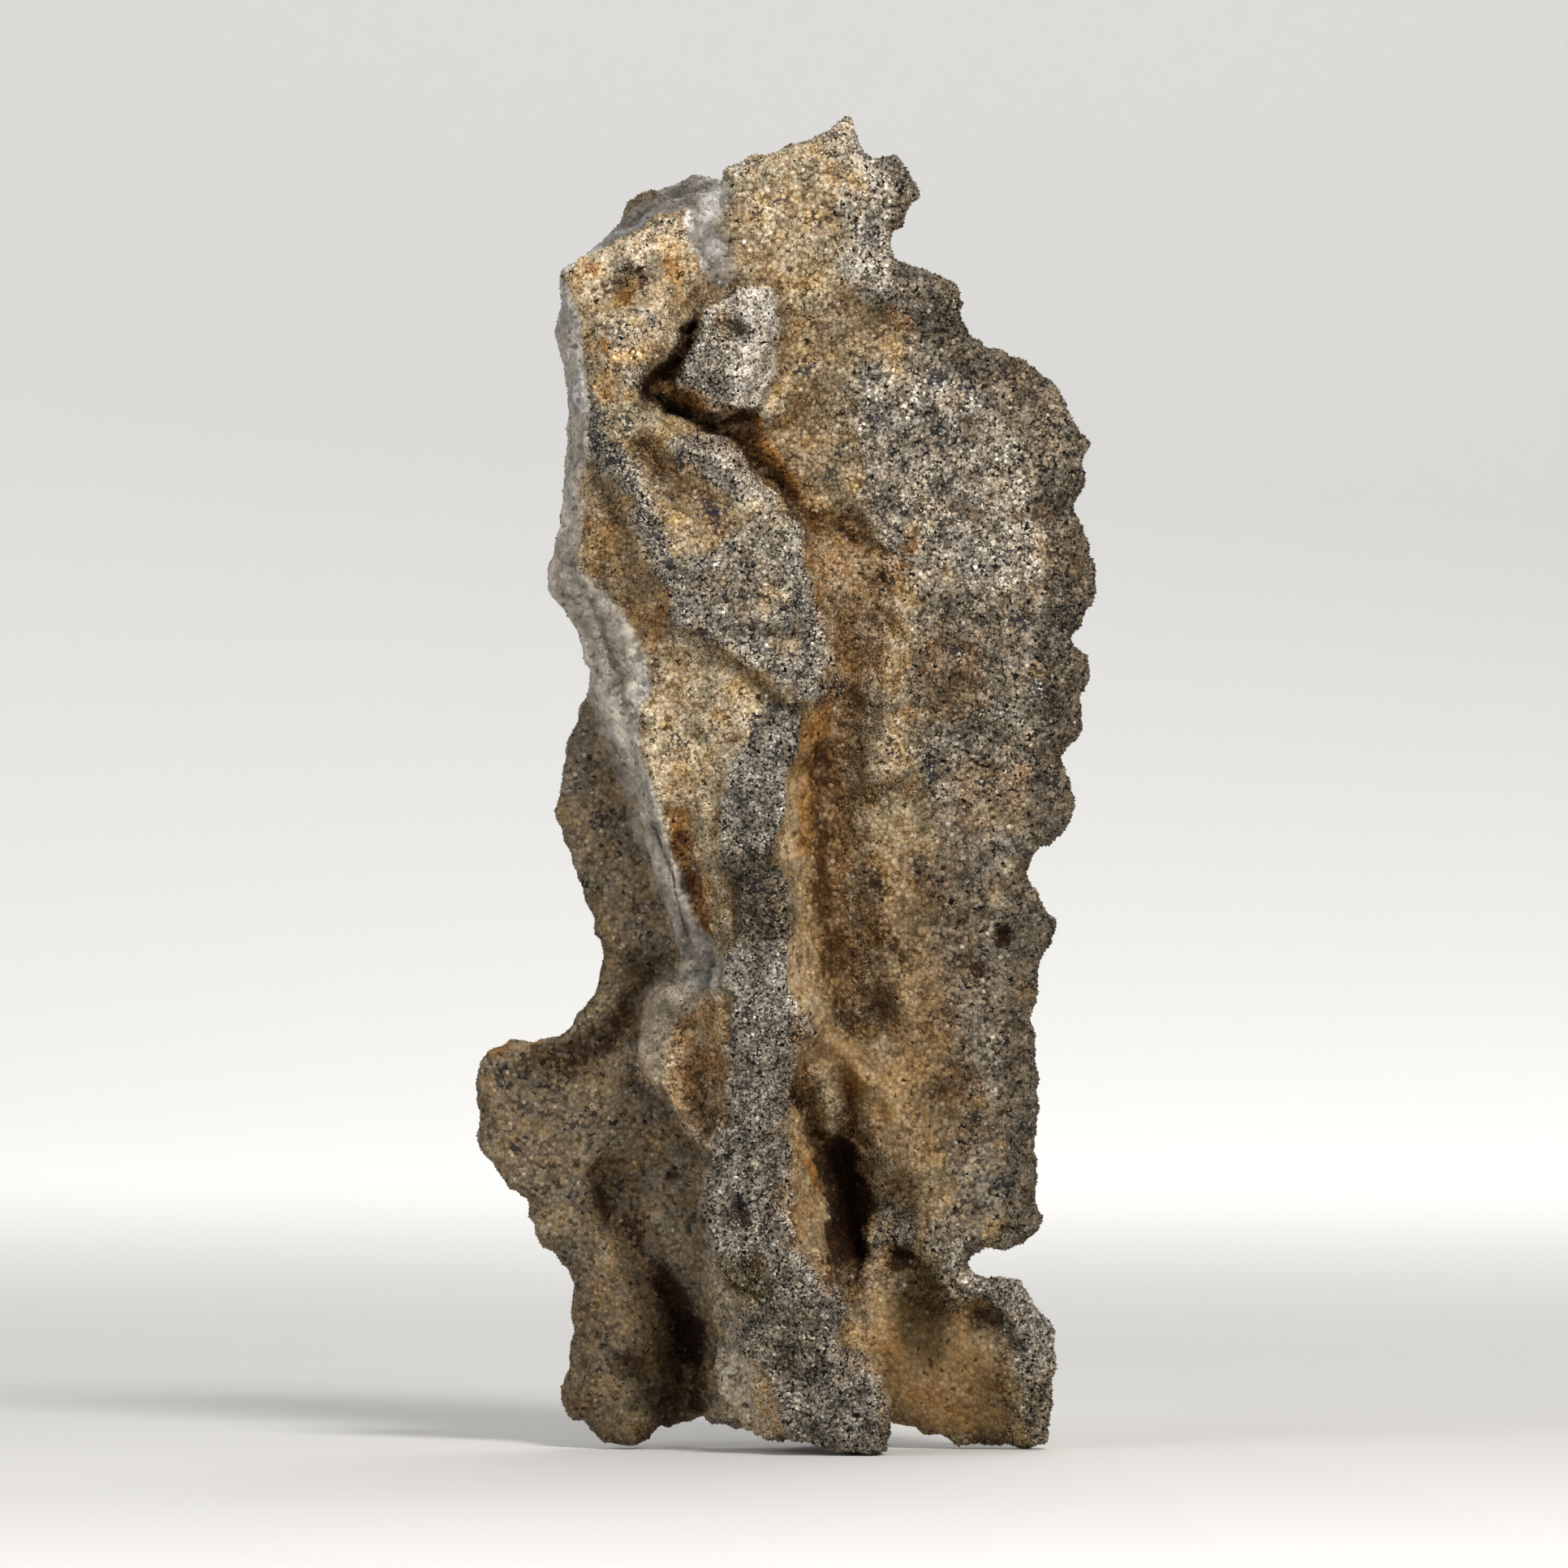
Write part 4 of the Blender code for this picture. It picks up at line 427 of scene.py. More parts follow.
# Cuts and ridges finer than the solid's own: line, half its width, depth (less than 0 stands proud).
FINE_RELIEF = [
    ([(-3.85, 49.0), (-4.3, 48.6), (-4.65, 47.6), (-5.1, 46.8)], 0.16, 1.6),
    ([(-5.8, 45.9), (-5.4, 45.6), (-4.7, 45.2), (-3.9, 44.75), (-3.2, 44.35)], 0.35, 1.1),
    ([(-2.4, 44.6), (-1.5, 44.8)], 0.25, 0.5),
    ([(-2.2, 44.0), (-1.4, 43.1), (-0.8, 42.5), (0.0, 41.8), (0.6, 41.0)], 0.3, 0.35),
    ([(-2.0, 44.7), (-1.2, 44.8), (-0.4, 45.3)], 0.55, -1.1),
    ([(-5.1, 47.2), (-4.75, 48.0), (-4.45, 48.7), (-4.2, 49.3)], 0.3, -1.3),
    ([(-4.35, 46.6), (-4.1, 47.6), (-3.7, 48.6), (-3.4, 49.3)], 0.3, -0.8),
    ([(-3.8, 49.8), (-3.6, 50.4), (-3.5, 51.2)], 0.4, -0.8),
    ([(2.0, 31.0), (2.0, 25.0), (2.2, 22.0), (2.9, 19.4)], 0.8, -1.0),
    ([(-8.4, 37.0), (-7.9, 35.4), (-7.2, 33.8), (-6.9, 32.0)], 0.2, 0.22),
    ([(-5.9, 27.2), (-5.2, 25.5), (-4.9, 24.3), (-4.3, 22.3)], 0.18, 0.14),
    ([(-4.8, 54.6), (-4.3, 54.3), (-3.9, 53.9)], 0.2, 0.3),
    ([(-3.2, 51.2), (-3.3, 50.4), (-3.8, 49.6)], 0.25, 0.3), ([(-4.05, 5.4), (-4.0, 4.2)], 0.5, 0.8),
    ([(2.6, 12.6), (2.7, 8.8)], 0.4, 0.5), ([(1.5, 16.3), (2.0, 15.4), (2.1, 14.0)], 0.7, -0.9),
    ([(3.2, 16.0), (3.7, 14.4), (4.0, 12.0)], 0.7, -0.9), ([(4.9, 8.4), (5.3, 8.3)], 0.4, 0.5),
    ([(3.3, 9.5), (3.6, 9.2)], 0.3, -0.8), ([(2.9, 13.3), (3.3, 12.8)], 0.32, -0.8),
    ([(1.6, 10.6), (1.5, 10.2)], 0.3, -0.5), ([(1.8, 13.9), (2.0, 13.3)], 0.3, -0.6),
    ([(-2.1, 48.9), (-1.7, 48.3)], 0.4, 0.5), ([(-1.85, 10.5), (-1.75, 10.1)], 0.35, 0.45),
    ([(9.4, 22.4), (9.4, 22.2)], 0.35, 0.5), ([(-6.7, 50.5), (-6.4, 50.3)], 0.9, 0.4),
    ([(4.2, 31.0), (4.1, 27.0), (4.4, 23.0), (4.8, 20.6), (4.8, 18.6)], 1.1, -0.7),
    ([(3.3, 33.4), (3.2, 27.0)], 0.7, -0.5), ([(3.4, 39.4), (3.6, 36.0), (3.6, 33.0)], 1.1, -0.5),
    ([(-4.0, 18.6), (-3.6, 17.0), (-3.5, 15.2)], 0.9, 0.5),
    ([(-4.5, 27.3), (-4.1, 25.5), (-3.6, 23.5), (-3.1, 22.3)], 0.5, -0.3),
    ([(1.5, 18.3), (3.0, 17.3), (4.5, 16.0), (5.6, 13.8), (6.0, 12.8)], 0.8, -0.3),
]

# A pointed top that keeps its full height: x, z, how far around, how far it grows.
PEAK = (2.8, 57.9, 0.9, 0.16)

# The listed lines sway a little, so that they don't run too true: the bends' seed, length and reach.
SWAY_SEED = 1
SWAY_SIZE = 1.4
SWAY_REACH = 0.3

# Rays that look for the stone above a place: how many, how far they reach and how far off it they start.
SKY_RAYS = 14
SKY_REACH = 9.0
SKY_START = 0.3

# Rays to the viewer: how far the skin may lean back there, and how far off it and ahead of it they start.
VIEW_LEAN = 0.35
VIEW_OFF = 0.2
VIEW_AHEAD = 0.4

# How many times the skin is evened out to show its small lumps and its rims.
LUMP_ROUNDS = 14
RIM_ROUNDS = 90

# Sizes of the patterns where the front can't be read: clouds of crust, and drifts of rust, film and grime.
CLOUD_SIZE = 4.5
DRIFT_SIZE = 2.2

# Noises of the stone's colour: clumps, tints, flecks and warmth, each with its shift, scale and detail.
STONE_NOISES = ((0.0, 520.0, 4.0), (3.0, 760.0, 1.6), (6.0, 640.0, 2.2), (9.0, 700.0, 2.0))
NOISE_ROUGHNESS = 0.68

# How many of the small grains that the skin itself shows lie along a metre, and how quartz takes the light.
PACKED_GRAINS = 5400.0
QUARTZ = {"IOR": 1.5, "Specular_IOR_Level": 0.2}

SKIN = "fused_sand_skin"
GRAIN_PIECES = ("sand_grains_foot", "sand_grains_waist", "sand_grains_shoulder", "sand_grains_head")

# The marks that the meshes store, up to four under each name, painted shade and light among them.
MARK_TABLES = {
    "coat": ("crust", "glass", "rust_and_shade", "hollow"),
    "stain": ("deep", "olive", "pale", "channel"),
    "finish": ("inky", "smooth", "grime_and_shade", "seen"),
    "tint": ("gold",),
}

# A grain shows above the skin as a tip and four sunk corners: where they stand, its faces, and its map.
GRAIN = np.array([
    (0.0, 0.0, 0.5), (1.0, 0.0, -0.25), (0.0, 1.0, -0.25), (-1.0, 0.0, -0.25), (0.0, -1.0, -0.25),
])
GRAIN_FACES = np.array([(0, 1, 2), (0, 2, 3), (0, 3, 4), (0, 4, 1)])
GRAIN_MAP = np.array([(0.5, 0.5), (0.0, 0.0), (1.0, 0.0), (1.0, 1.0), (0.0, 1.0)])
CORNERS = len(GRAIN)
GRAIN_HEIGHT = 1.6

# From this share of glass on, grains are few: this many for each that plain sand has.
GLASS_SHARE = 0.6
GLASS_CROWD = 0.12

# The floor's flat middle and the height of its edge, as shares of its radius, and the light of the room.
FLOOR_FLAT = 0.45
FLOOR_RISE = 0.9
ROOM_COLOUR = (0.96, 0.98, 1.0, 1.0)
ROOM_LIGHT = 0.24


def stone_settings():
    return bpy.context.scene.fulgurite_stone


def grain_settings():
    return bpy.context.scene.fulgurite_grains


def studio_settings():
    return bpy.context.scene.fulgurite_studio


def length(name, description, default, **limits):
    """A setting that is a length in metres."""
    return FloatProperty(name=name, description=description, default=default, unit="LENGTH", **limits)


def paint(name, description, default):
    """A setting that is a colour."""
    return FloatVectorProperty(name=name, description=description, subtype="COLOR", default=default)


def power(name, description, default):
    """A setting that is a light's power in watts."""
    return FloatProperty(name=name, description=description, default=default, unit="POWER")


class StoneSettings(PropertyGroup):
    """Sizes and colours of the fused sand skin."""

    facet: length("Facet", "Size of the skin's facets", 0.25 * MM, min=0.15 * MM)
    inset: length("Inset", "How far the skin lies under the tips of its grains", 0.08 * MM)
    ripple_size: length("Ripple size", "Width of the broad ripples", 3.2 * MM)
    ripple_height: length("Ripple height", "Height of the broad ripples", 0.16 * MM)
    nodule_size: length("Nodule size", "Width of the crust's nodules", 1.15 * MM)
    nodule_height: length("Nodule height", "Height of the nodules on the crest", 0.46 * MM)
    crumb_size: length("Crumb size", "Width of the crumbs between the nodules", 0.60 * MM)
    crumb_height: length("Crumb height", "Height of the crumbs", 0.20 * MM)
    chip_size: length("Chip size", "Width of the chips in the broken glass", 1.0 * MM)
    chip_depth: length("Chip depth", "Depth of the chips in the broken glass", 0.24 * MM)
    sand: paint("Sand", "Tan sand that coats the stone", (0.308, 0.229, 0.134))
    clean_sand: paint("Clean sand", "Bright cream sand", (0.56, 0.445, 0.295))
    crust: paint("Crust", "Grey granular crust", (0.215, 0.196, 0.166))
    # Orange of iron stains, and of the painted shade in the groove, valleys and hollows.
    rust_and_shade: paint("Rust", "Iron-stained sand", (0.325, 0.152, 0.036))
    # Painted shade in the crevices.
    deep: paint("Deep brown", "Sand deep in a crevice", (0.042, 0.016, 0.003))
    # Dark green-grey, low on the stone and in its valleys.
    olive: paint("Olive", "Green-grey film", (0.085, 0.058, 0.014))
    glass: paint("Glass", "Broken glass inside the stone", (0.415, 0.366, 0.306))
    pale_glass: paint("Pale glass", "Milky glass", (0.56, 0.535, 0.52))
    inky: paint("Inky grains", "Blue-black grains", (0.022, 0.025, 0.034))
    pale_crust: paint("Pale crust", "Whitish crust", (0.415, 0.378, 0.328))
    ochre: paint("Ochre", "Warm yellow sand", (0.46, 0.295, 0.115))
    gold: paint("Gold", "Golden sand", (0.60, 0.36, 0.12))
    moss: paint("Moss", "Green-grey sand", (0.19, 0.180, 0.118))
    ash: paint("Ash", "Clumps of dark grains", (0.080, 0.071, 0.047))
    # White of clear quartz grains, and of the painted glints on grain tips.
    glint: paint("Quartz", "Clear white quartz grains", (0.74, 0.73, 0.71))
    # Painted shade on the sand: the share of its light that it keeps.
    grime_and_shade: paint("Grime", "How much of its light dirty sand keeps", (0.38, 0.33, 0.26))
    # Painted shade on the broken glass: the share of its light that it keeps.
    glass_shade: paint("Smoke", "How much of its light smoky glass keeps", (0.26, 0.25, 0.24))
    depth_scale: FloatProperty(
        name="Depth scale", default=0.5, min=0.1, max=1.0,
        description="How far the patterns are drawn out on faces that run away from the front",
    )


class GrainSettings(PropertyGroup):
    """Sizes of the sand grains fused to the skin."""

    smallest: length("Smallest", "Length of the smallest grains", 0.12 * MM)
    largest: length("Largest", "Length of the largest grains", 0.31 * MM)
    proud: FloatProperty(
        name="Proud", default=0.5, min=0.1, max=0.8, description="Share of a grain that stands proud"
    )
    most: IntProperty(name="Most grains", description="Most grains in one piece", default=49800, max=49900)
    seed: IntProperty(name="Seed", description="Which scatter of grains is made", default=7)


class StudioSettings(PropertyGroup):
    """The floor, the lights and the camera."""

    floor_radius: length("Floor radius", "Radius of the pale floor", 1.3)
    floor_colour: paint("Floor", "Colour of the floor", (0.84, 0.83, 0.81))
    camera_distance: length("Camera distance", "From the stone's middle to the camera", 0.80)
    camera_height: length("Camera height", "Height of the camera and its aim", 28.95 * MM)
    key_power: power("Key light", "Power of the main light", 1.05)
    fill_power: power("Fill light", "Power of each other light", 1.5)


def maths(operation, swapped=False):
    """One of Python's operators on a wire, as a method that adds a Math node."""

    def work_out(wire, other):
        first, second = (other, wire) if swapped else (wire, other)
        return wire.bench.node("ShaderNodeMath", {"operation": operation}, {0: first, 1: second})

    return work_out


class Wire:
    """One output of a shader node. Python's operators on it add the Math nodes that work them out."""

    def __init__(self, bench, socket):
        self.bench = bench
        self.socket = socket

    __add__ = __radd__ = maths("ADD")
    __sub__ = maths("SUBTRACT")
    __rsub__ = maths("SUBTRACT", swapped=True)
    __mul__ = __rmul__ = maths("MULTIPLY")
    __pow__ = maths("POWER")
    __gt__ = maths("GREATER_THAN")
    __lt__ = maths("LESS_THAN")


class Bench:
    """A new material and its nodes."""

    def __init__(self, name):
        self.material = bpy.data.materials.new(name)
        self.material.use_nodes = True
        self.tree = self.material.node_tree
        self.shader = self.tree.nodes["Principled BSDF"]

    def feed(self, socket, value):
        """Links a wire to the socket, or sets it to a number, colour or vector."""
        if isinstance(value, Wire):
            self.tree.links.new(value.socket, socket)
        elif socket.type == "RGBA" and len(value) == 3:
            socket.default_value = (*value, 1.0)
        else:
            socket.default_value = value

    def node(self, kind, settings=None, sockets=None, output=0):
        """Adds a node, first with its settings and then with what its sockets get, and returns one output."""
        made = self.tree.nodes.new(kind)
        for name, value in (settings or {}).items():
            setattr(made, name, value)
        for name, value in (sockets or {}).items():
            self.feed(made.inputs[name], value)
        return Wire(self, made.outputs[output])

    def parts(self, colour):
        """The three parts of a colour."""
        first = self.node("ShaderNodeSeparateColor", None, {0: colour})
        return [Wire(self, output) for output in first.socket.node.outputs]

    def stored(self, name):
        """The four values that a mesh stores under a name."""
        colour = self.node("ShaderNodeAttribute", {"attribute_name": name})
        return *self.parts(colour), Wire(self, colour.socket.node.outputs["Alpha"])

    def mixed(self, share, first, second, blend="MIX"):
        """A colour between two colours."""
        kind = {"data_type": "RGBA", "blend_type": blend}
        return self.node("ShaderNodeMix", kind, {0: share, 6: first, 7: second}, 2)

    def layered(self, colour, *layers):
        """The colour after each layer has covered its share of it with its own colour."""
        for share, layer in layers:
            colour = self.mixed(share, colour, layer)
        return colour

    def eased(self, value, low, high):
        """0 below low, 1 above high, and a smooth step between them."""
        kind = {"interpolation_type": "SMOOTHSTEP"}
        return self.node("ShaderNodeMapRange", kind, {0: value, 1: low, 2: high})

    def finish(self, **sockets):
        """Sets the shader's own sockets, named with _ for a space, and returns the material."""
        for name, value in sockets.items():
            self.feed(self.shader.inputs[name.replace("_", " ")], value)
        return self.material


def off_stretch(x, z, start, end):
    """How far each (x, z) lies from the straight stretch between two points."""
    (x0, z0), (x1, z1) = start, end
    dx, dz = x1 - x0, z1 - z0
    share = np.clip(((x - x0) * dx + (z - z0) * dz) / (dx * dx + dz * dz), 0.0, 1.0)
    return np.hypot(x - x0 - share * dx, z - z0 - share * dz)


def distance_to_line(x, z, line):
    """How far each (x, z) lies from a line of points."""
    nearest = np.full(x.shape, np.inf)
    for start, end in zip(line[:-1], line[1:]):
        nearest = np.minimum(nearest, off_stretch(x, z, start, end))
    return nearest


def beside_line(x, z, line):
    """How far each (x, z) lies from a line of points, less than 0 to the right of the way it runs."""
    nearest, side = np.full(x.shape, np.inf), np.ones(x.shape)
    for (x0, z0), (x1, z1) in zip(line[:-1], line[1:]):
        away = off_stretch(x, z, (x0, z0), (x1, z1))
        closer = away < nearest
        nearest = np.where(closer, away, nearest)
        side = np.where(closer, np.sign((x1 - x0) * (z - z0) - (z1 - z0) * (x - x0)), side)
    return nearest * side


def inside(x, z, outline):
    """Whether each (x, z) lies inside a closed outline."""
    found = np.zeros(x.shape, bool)
    for (x0, z0), (x1, z1) in zip(outline, outline[1:] + outline[:1]):
        if z0 == z1:
            continue
        found ^= ((z0 > z) != (z1 > z)) & (x < x0 + (z - z0) * (x1 - x0) / (z1 - z0))
    return found


def step(values, low, high):
    """0 below low, 1 above high, and a smooth step between them."""
    share = np.clip((values - low) / (high - low), 0.0, 1.0)
    return share * share * (3.0 - 2.0 * share)


def bell(values, width):
    """1 at 0, and a smooth fall to both sides."""
    return np.exp(-((values / width) ** 2))


def painted(x, z, patches, lines):
    """How strongly patches and lines mark each (x, z), from 0 to 1."""
    mark = np.zeros(x.shape)
    for outline, fade, strength in patches:
        outside = distance_to_line(x, z, outline + outline[:1]) * ~inside(x, z, outline)
        mark = np.maximum(mark, strength * (1.0 - step(outside, 0.0, fade)))
    for line, width, strength in lines:
        mark = np.maximum(mark, strength * bell(distance_to_line(x, z, line), width))
    return mark


def swayed(points):
    """Each place's x and z as the listed lines see them."""
    noise.seed_set(SWAY_SEED)
    sway = np.array([noise.noise_vector(Vector(p) / SWAY_SIZE) for p in points]) * SWAY_REACH
    return points[:, 0] + sway[:, 0], points[:, 2] + sway[:, 2]


def rows_of_three(items, attribute):
    """An attribute of three numbers, one row for each item."""
    values = np.empty(len(items) * 3)
    items.foreach_get(attribute, values)
    return values.reshape(-1, 3)


def mesh_points(mesh):
    """The mesh's vertices in millimetres."""
    return rows_of_three(mesh.vertices, "co") / MM


def mesh_normals(mesh):
    return rows_of_three(mesh.vertex_normals, "vector")


def place_points(mesh, points):
    mesh.vertices.foreach_set("co", (points * MM).ravel())
    mesh.update()


def evened(values, edges, rounds):
    """Values on the vertices after they are shared along the edges for some rounds."""
    first, second = edges[:, 0], edges[:, 1]
    count = len(values)
    degree = np.bincount(first, minlength=count) + np.bincount(second, minlength=count)
    degree = np.maximum(degree, 1)
    for _ in range(rounds):
        sums = np.bincount(first, values[second], count) + np.bincount(second, values[first], count)
        values = (values + sums / degree) / 2
    return values


def raised(points, normals, edges, rounds):
    """How far each place stands out of the skin as it is after some rounds of evening out."""
    level = np.stack([evened(points[:, axis], edges, rounds) for axis in range(3)], axis=1)
    return np.einsum("ij,ij->i", points - level, normals)


def hollows(points, normals, edges):
    """How far each place lies in a small hollow: 0 on top of a lump, 0.5 on the level and 1 in a hollow."""
    return np.clip(0.5 - 4.5 * raised(points, normals, edges, LUMP_ROUNDS), 0.0, 1.0)


def field(points, function):
    """A function of each place, as an array."""
    return np.array([function(Vector(p)) for p in points])


def nodules(points, size):
    """Rounded lumps of about that size: 1 on top of each, falling to about 0 between them."""
    return 1.0 - 1.25 * field(points / size, lambda p: noise.voronoi(p)[0][0])


def store(mesh, name, table):
    """Stores a row of four values for each vertex as a colour attribute."""
    mesh.color_attributes.new(name, "FLOAT_COLOR", "POINT").data.foreach_set("color", table.ravel())


def store_columns(mesh, name, columns):
    """Stores up to four values for each vertex, cut off at 0 and 1."""
    table = np.zeros((len(mesh.vertices), 4), np.float32)
    table[:, 3] = 1.0
    for index, column in enumerate(columns):
        table[:, index] = np.clip(column, 0.0, 1.0)
    store(mesh, name, table)


def stored_table(mesh, name):
    table = np.empty(len(mesh.vertices) * 4, np.float32)
    mesh.color_attributes[name].data.foreach_get("color", table)
    return table.reshape(-1, 4)


def link(name, mesh):
    piece = bpy.data.objects.new(name, mesh)
    bpy.context.scene.collection.objects.link(piece)
    return piece


def shaped(piece):
    """The mesh that the piece's modifiers make."""
    graph = bpy.context.evaluated_depsgraph_get()
    mesh = bpy.data.meshes.new_from_object(piece.evaluated_get(graph))
    piece.modifiers.clear()
    return mesh


def welded(mesh):
    """A copy of the mesh whose faces share their corners."""
    copy = mesh.copy()
    joined = bmesh.new()
    joined.from_mesh(copy)
    bmesh.ops.remove_doubles(joined, verts=joined.verts, dist=0.001 * MM)
    joined.to_mesh(copy)
    joined.free()
    return copy


def openness(surface, points, normals):
    """The share of the directions above each place in which nothing of the stone stands close by."""
    golden = math.pi * (3.0 - math.sqrt(5.0))
    rays = []
    for i in range(SKY_RAYS):
        rise = (i + 0.5) / SKY_RAYS
        flat = math.sqrt(1.0 - rise * rise)
        rays.append((flat * math.cos(i * golden), flat * math.sin(i * golden), rise))
    free = np.zeros(len(points))
    for index, (point, normal) in enumerate(zip(points, normals)):
        up = Vector(normal)
        start = Vector(point) + up * SKY_START
        side = up.orthogonal().normalized()
        other = up.cross(side)
        ways = (side * a + other * b + up * c for a, b, c in rays)
        hits = sum(surface.ray_cast(start, way, SKY_REACH)[0] is not None for way in ways)
        free[index] = 1.0 - hits / SKY_RAYS
    return free


def faces_viewer(surface, points, normals):
    """1 where a place can be seen from the front, else 0."""
    seen = np.zeros(len(points))
    for index in np.flatnonzero(normals[:, 1] < VIEW_LEAN):
        start = Vector(points[index]) + Vector(normals[index]) * VIEW_OFF + TO_VIEWER * VIEW_AHEAD
        seen[index] = surface.ray_cast(start, TO_VIEWER)[0] is None
    return seen


def skin_marks(points, normals, edges, surface):
    """What each place of the skin is made of and how it is worn, and where shade and light are painted on it,
    as named arrays from 0 to 1.
    """
    rim = step(evened(raised(points, normals, edges, RIM_ROUNDS), edges, 4), 0.12, 0.55)
    free = evened(openness(surface, points, normals), edges, 6)
    shut = 1.0 - step(free, 0.25, 0.75)
    seen = evened(faces_viewer(surface, points, normals), edges, 2)
    behind = 1.0 - seen
    x, z = swayed(points)
    cloud = field(points, lambda p: noise.fractal(p / CLOUD_SIZE, 1.0, 2.0, 3))
    drift = field(points, lambda p: noise.noise(p / DRIFT_SIZE + Vector((9.0, 3.0, 5.0))))

    def marked(patches, lines=()):
        return painted(x, z, patches, lines) * seen

    # The broken glass runs on over the top and round the left side, where the front doesn't show it.
    left, height = -points[:, 0], points[:, 2]
    top_break = step(normals[:, 2], 0.45, 0.75) * step(height, 50.6, 51.8) * step(left, 2.4, 2.9)
    left_break = (
        step(-normals[:, 0], 0.6, 0.85) * step(height, 33.0, 35.0) * step(left, 7.6, 8.8)
        * step(points[:, 1], -4.6, -4.2) * step(-points[:, 1], 0.6, 1.2)
    )
    glass = np.maximum.reduce([marked(GLASS_PATCHES, GLASS_LINES), top_break, left_break])
    glass *= 1.0 - marked(SAND_PATCHES)
    sandy = 1.0 - glass
    rim_crust = rim * (0.55 + 0.45 * behind)
    back_crust = behind * np.clip(0.34 + 0.9 * cloud + 0.5 * rim, 0.0, 0.9)
    # Orange-brown painted shade where the stone closes in over a place, on the sides that the front doesn't
    # show.
    back_rust_and_shade = behind * step(shut + 0.6 * drift, 0.45, 1.1) * 0.75
    # Dark green-grey in drifts, more of it towards the bottom, on the sides that the front doesn't show.
    back_olive = behind * step(drift, 0.25, 0.7) * step(14.0 - height, 0.0, 12.0) * 0.6
    # Painted shade where the stone closes in over a place.
    crevice = (0.55 - 0.25 * seen) * step(1.0 - free, 0.68, 0.98)
    inky = np.zeros(len(points))
    for spot_x, spot_z, radius in INKY_SPOTS:
        inky = np.maximum(inky, bell(np.hypot(x - spot_x, z - spot_z), radius))
    return {
        "glass": glass,
        "crust": np.maximum.reduce([marked(CRUST_PATCHES, CRUST_LINES), rim_crust, back_crust]) * sandy,
        "rust_and_shade": np.maximum(marked(RUST_AND_SHADE_PATCHES, RUST_AND_SHADE_LINES), back_rust_and_shade) * sandy,
        "gold": marked([], GOLD_LINES) * sandy,
        "olive": np.maximum(marked(OLIVE_PATCHES), back_olive) * sandy,
        "deep": np.maximum(marked(DEEP_PATCHES, DEEP_LINES), crevice),
        "pale": np.maximum(marked(PALE_PATCHES, PALE_LINES), behind * step(cloud, 0.1, 0.5) * 0.3),
        "smooth": marked(SMOOTH_PATCHES) * (1.0 - marked([(CREST, 0.1, 1.0), (FLAP_RIM, 0.1, 1.0)])),
        "channel": np.max([1.0 - distance_to_line(x, z, line) for line in CHANNEL_LINES], axis=0) * seen,
        # Painted shade from the front's patches and lines; on the sides that the front doesn't show, darker
        # drifts at random.
        "grime_and_shade": np.maximum(marked(GRIME_AND_SHADE_PATCHES, GRIME_AND_SHADE_LINES), behind * step(drift, 0.0, 0.6) * 0.35),
        "inky": np.maximum(inky * seen, behind * step(drift, 0.52, 0.62) * 0.9),
        "seen": seen,
    }


def sculpted(points, normals, marks):
    """The skin's places after its ripples, nodules, crumbs and fine cuts."""
    sizes = stone_settings()
    x, z = swayed(points)
    ripple = field(points, lambda p: noise.noise(p / (sizes.ripple_size / MM))) * sizes.ripple_height / MM
    edge = step(1.0 - np.abs(normals[:, 1]), 0.45, 0.85)
    calm = 1.0 - 0.85 * np.maximum(marks["glass"], marks["smooth"] * (1.0 - 0.6 * edge))
    lump = nodules(points, sizes.nodule_size / MM) - 0.5
    crumb = nodules(points + 3.7, sizes.crumb_size / MM) - 0.5
    chip = nodules(points + 8.2, sizes.chip_size / MM) - 0.5
    rough = np.maximum(0.25 + 0.75 * marks["crust"], edge)
    lumps = lump * rough * sizes.nodule_height + crumb * (0.5 + 0.5 * rough) * sizes.crumb_height
    rise = ripple + calm * lumps / MM
    rise += marks["glass"] * chip * sizes.chip_depth / MM
    rise -= sizes.inset / MM
    peak_x, peak_z, peak_reach, growth = PEAK
    peak = bell(np.hypot(points[:, 0] - peak_x, points[:, 2] - peak_z), peak_reach)
    rise = rise * (1.0 - peak) + growth * peak
    cut, lift, drop = np.zeros((3, len(points)))
    for line, width, depth in FINE_RELIEF:
        cut += depth * bell(distance_to_line(x, z, line), width)
    for line, reach, height, low_reach, depth in LEDGES:
        near = beside_line(x, z, line)
        wall = step(near, -LEDGE_WALL, 0.0)
        lift = np.maximum(lift, height * wall * bell(np.maximum(near, 0.0), reach))
        drop = np.maximum(drop, depth * (1.0 - wall) * bell(np.minimum(near, 0.0), low_reach))
    moved = points + normals * rise[:, None]
    moved[:, 1] += (cut + drop - lift) * marks["seen"]
    moved[:, 2] = np.maximum(moved[:, 2], 0.0)
    return moved


def stone_place(bench):
    """Where the patterns are read: on the stone, and drawn out on faces that run away from the front."""
    place = bench.node("ShaderNodeTexCoord", None, None, 3)
    smooth = bench.stored("finish")[1]
    depth = stone_settings().depth_scale * (1.0 - 0.5 * smooth)
    scale = bench.node("ShaderNodeCombineXYZ", None, {0: 1.0, 1: depth, 2: 1.0})
    return bench.node("ShaderNodeMapping", None, {"Vector": place, "Scale": scale})


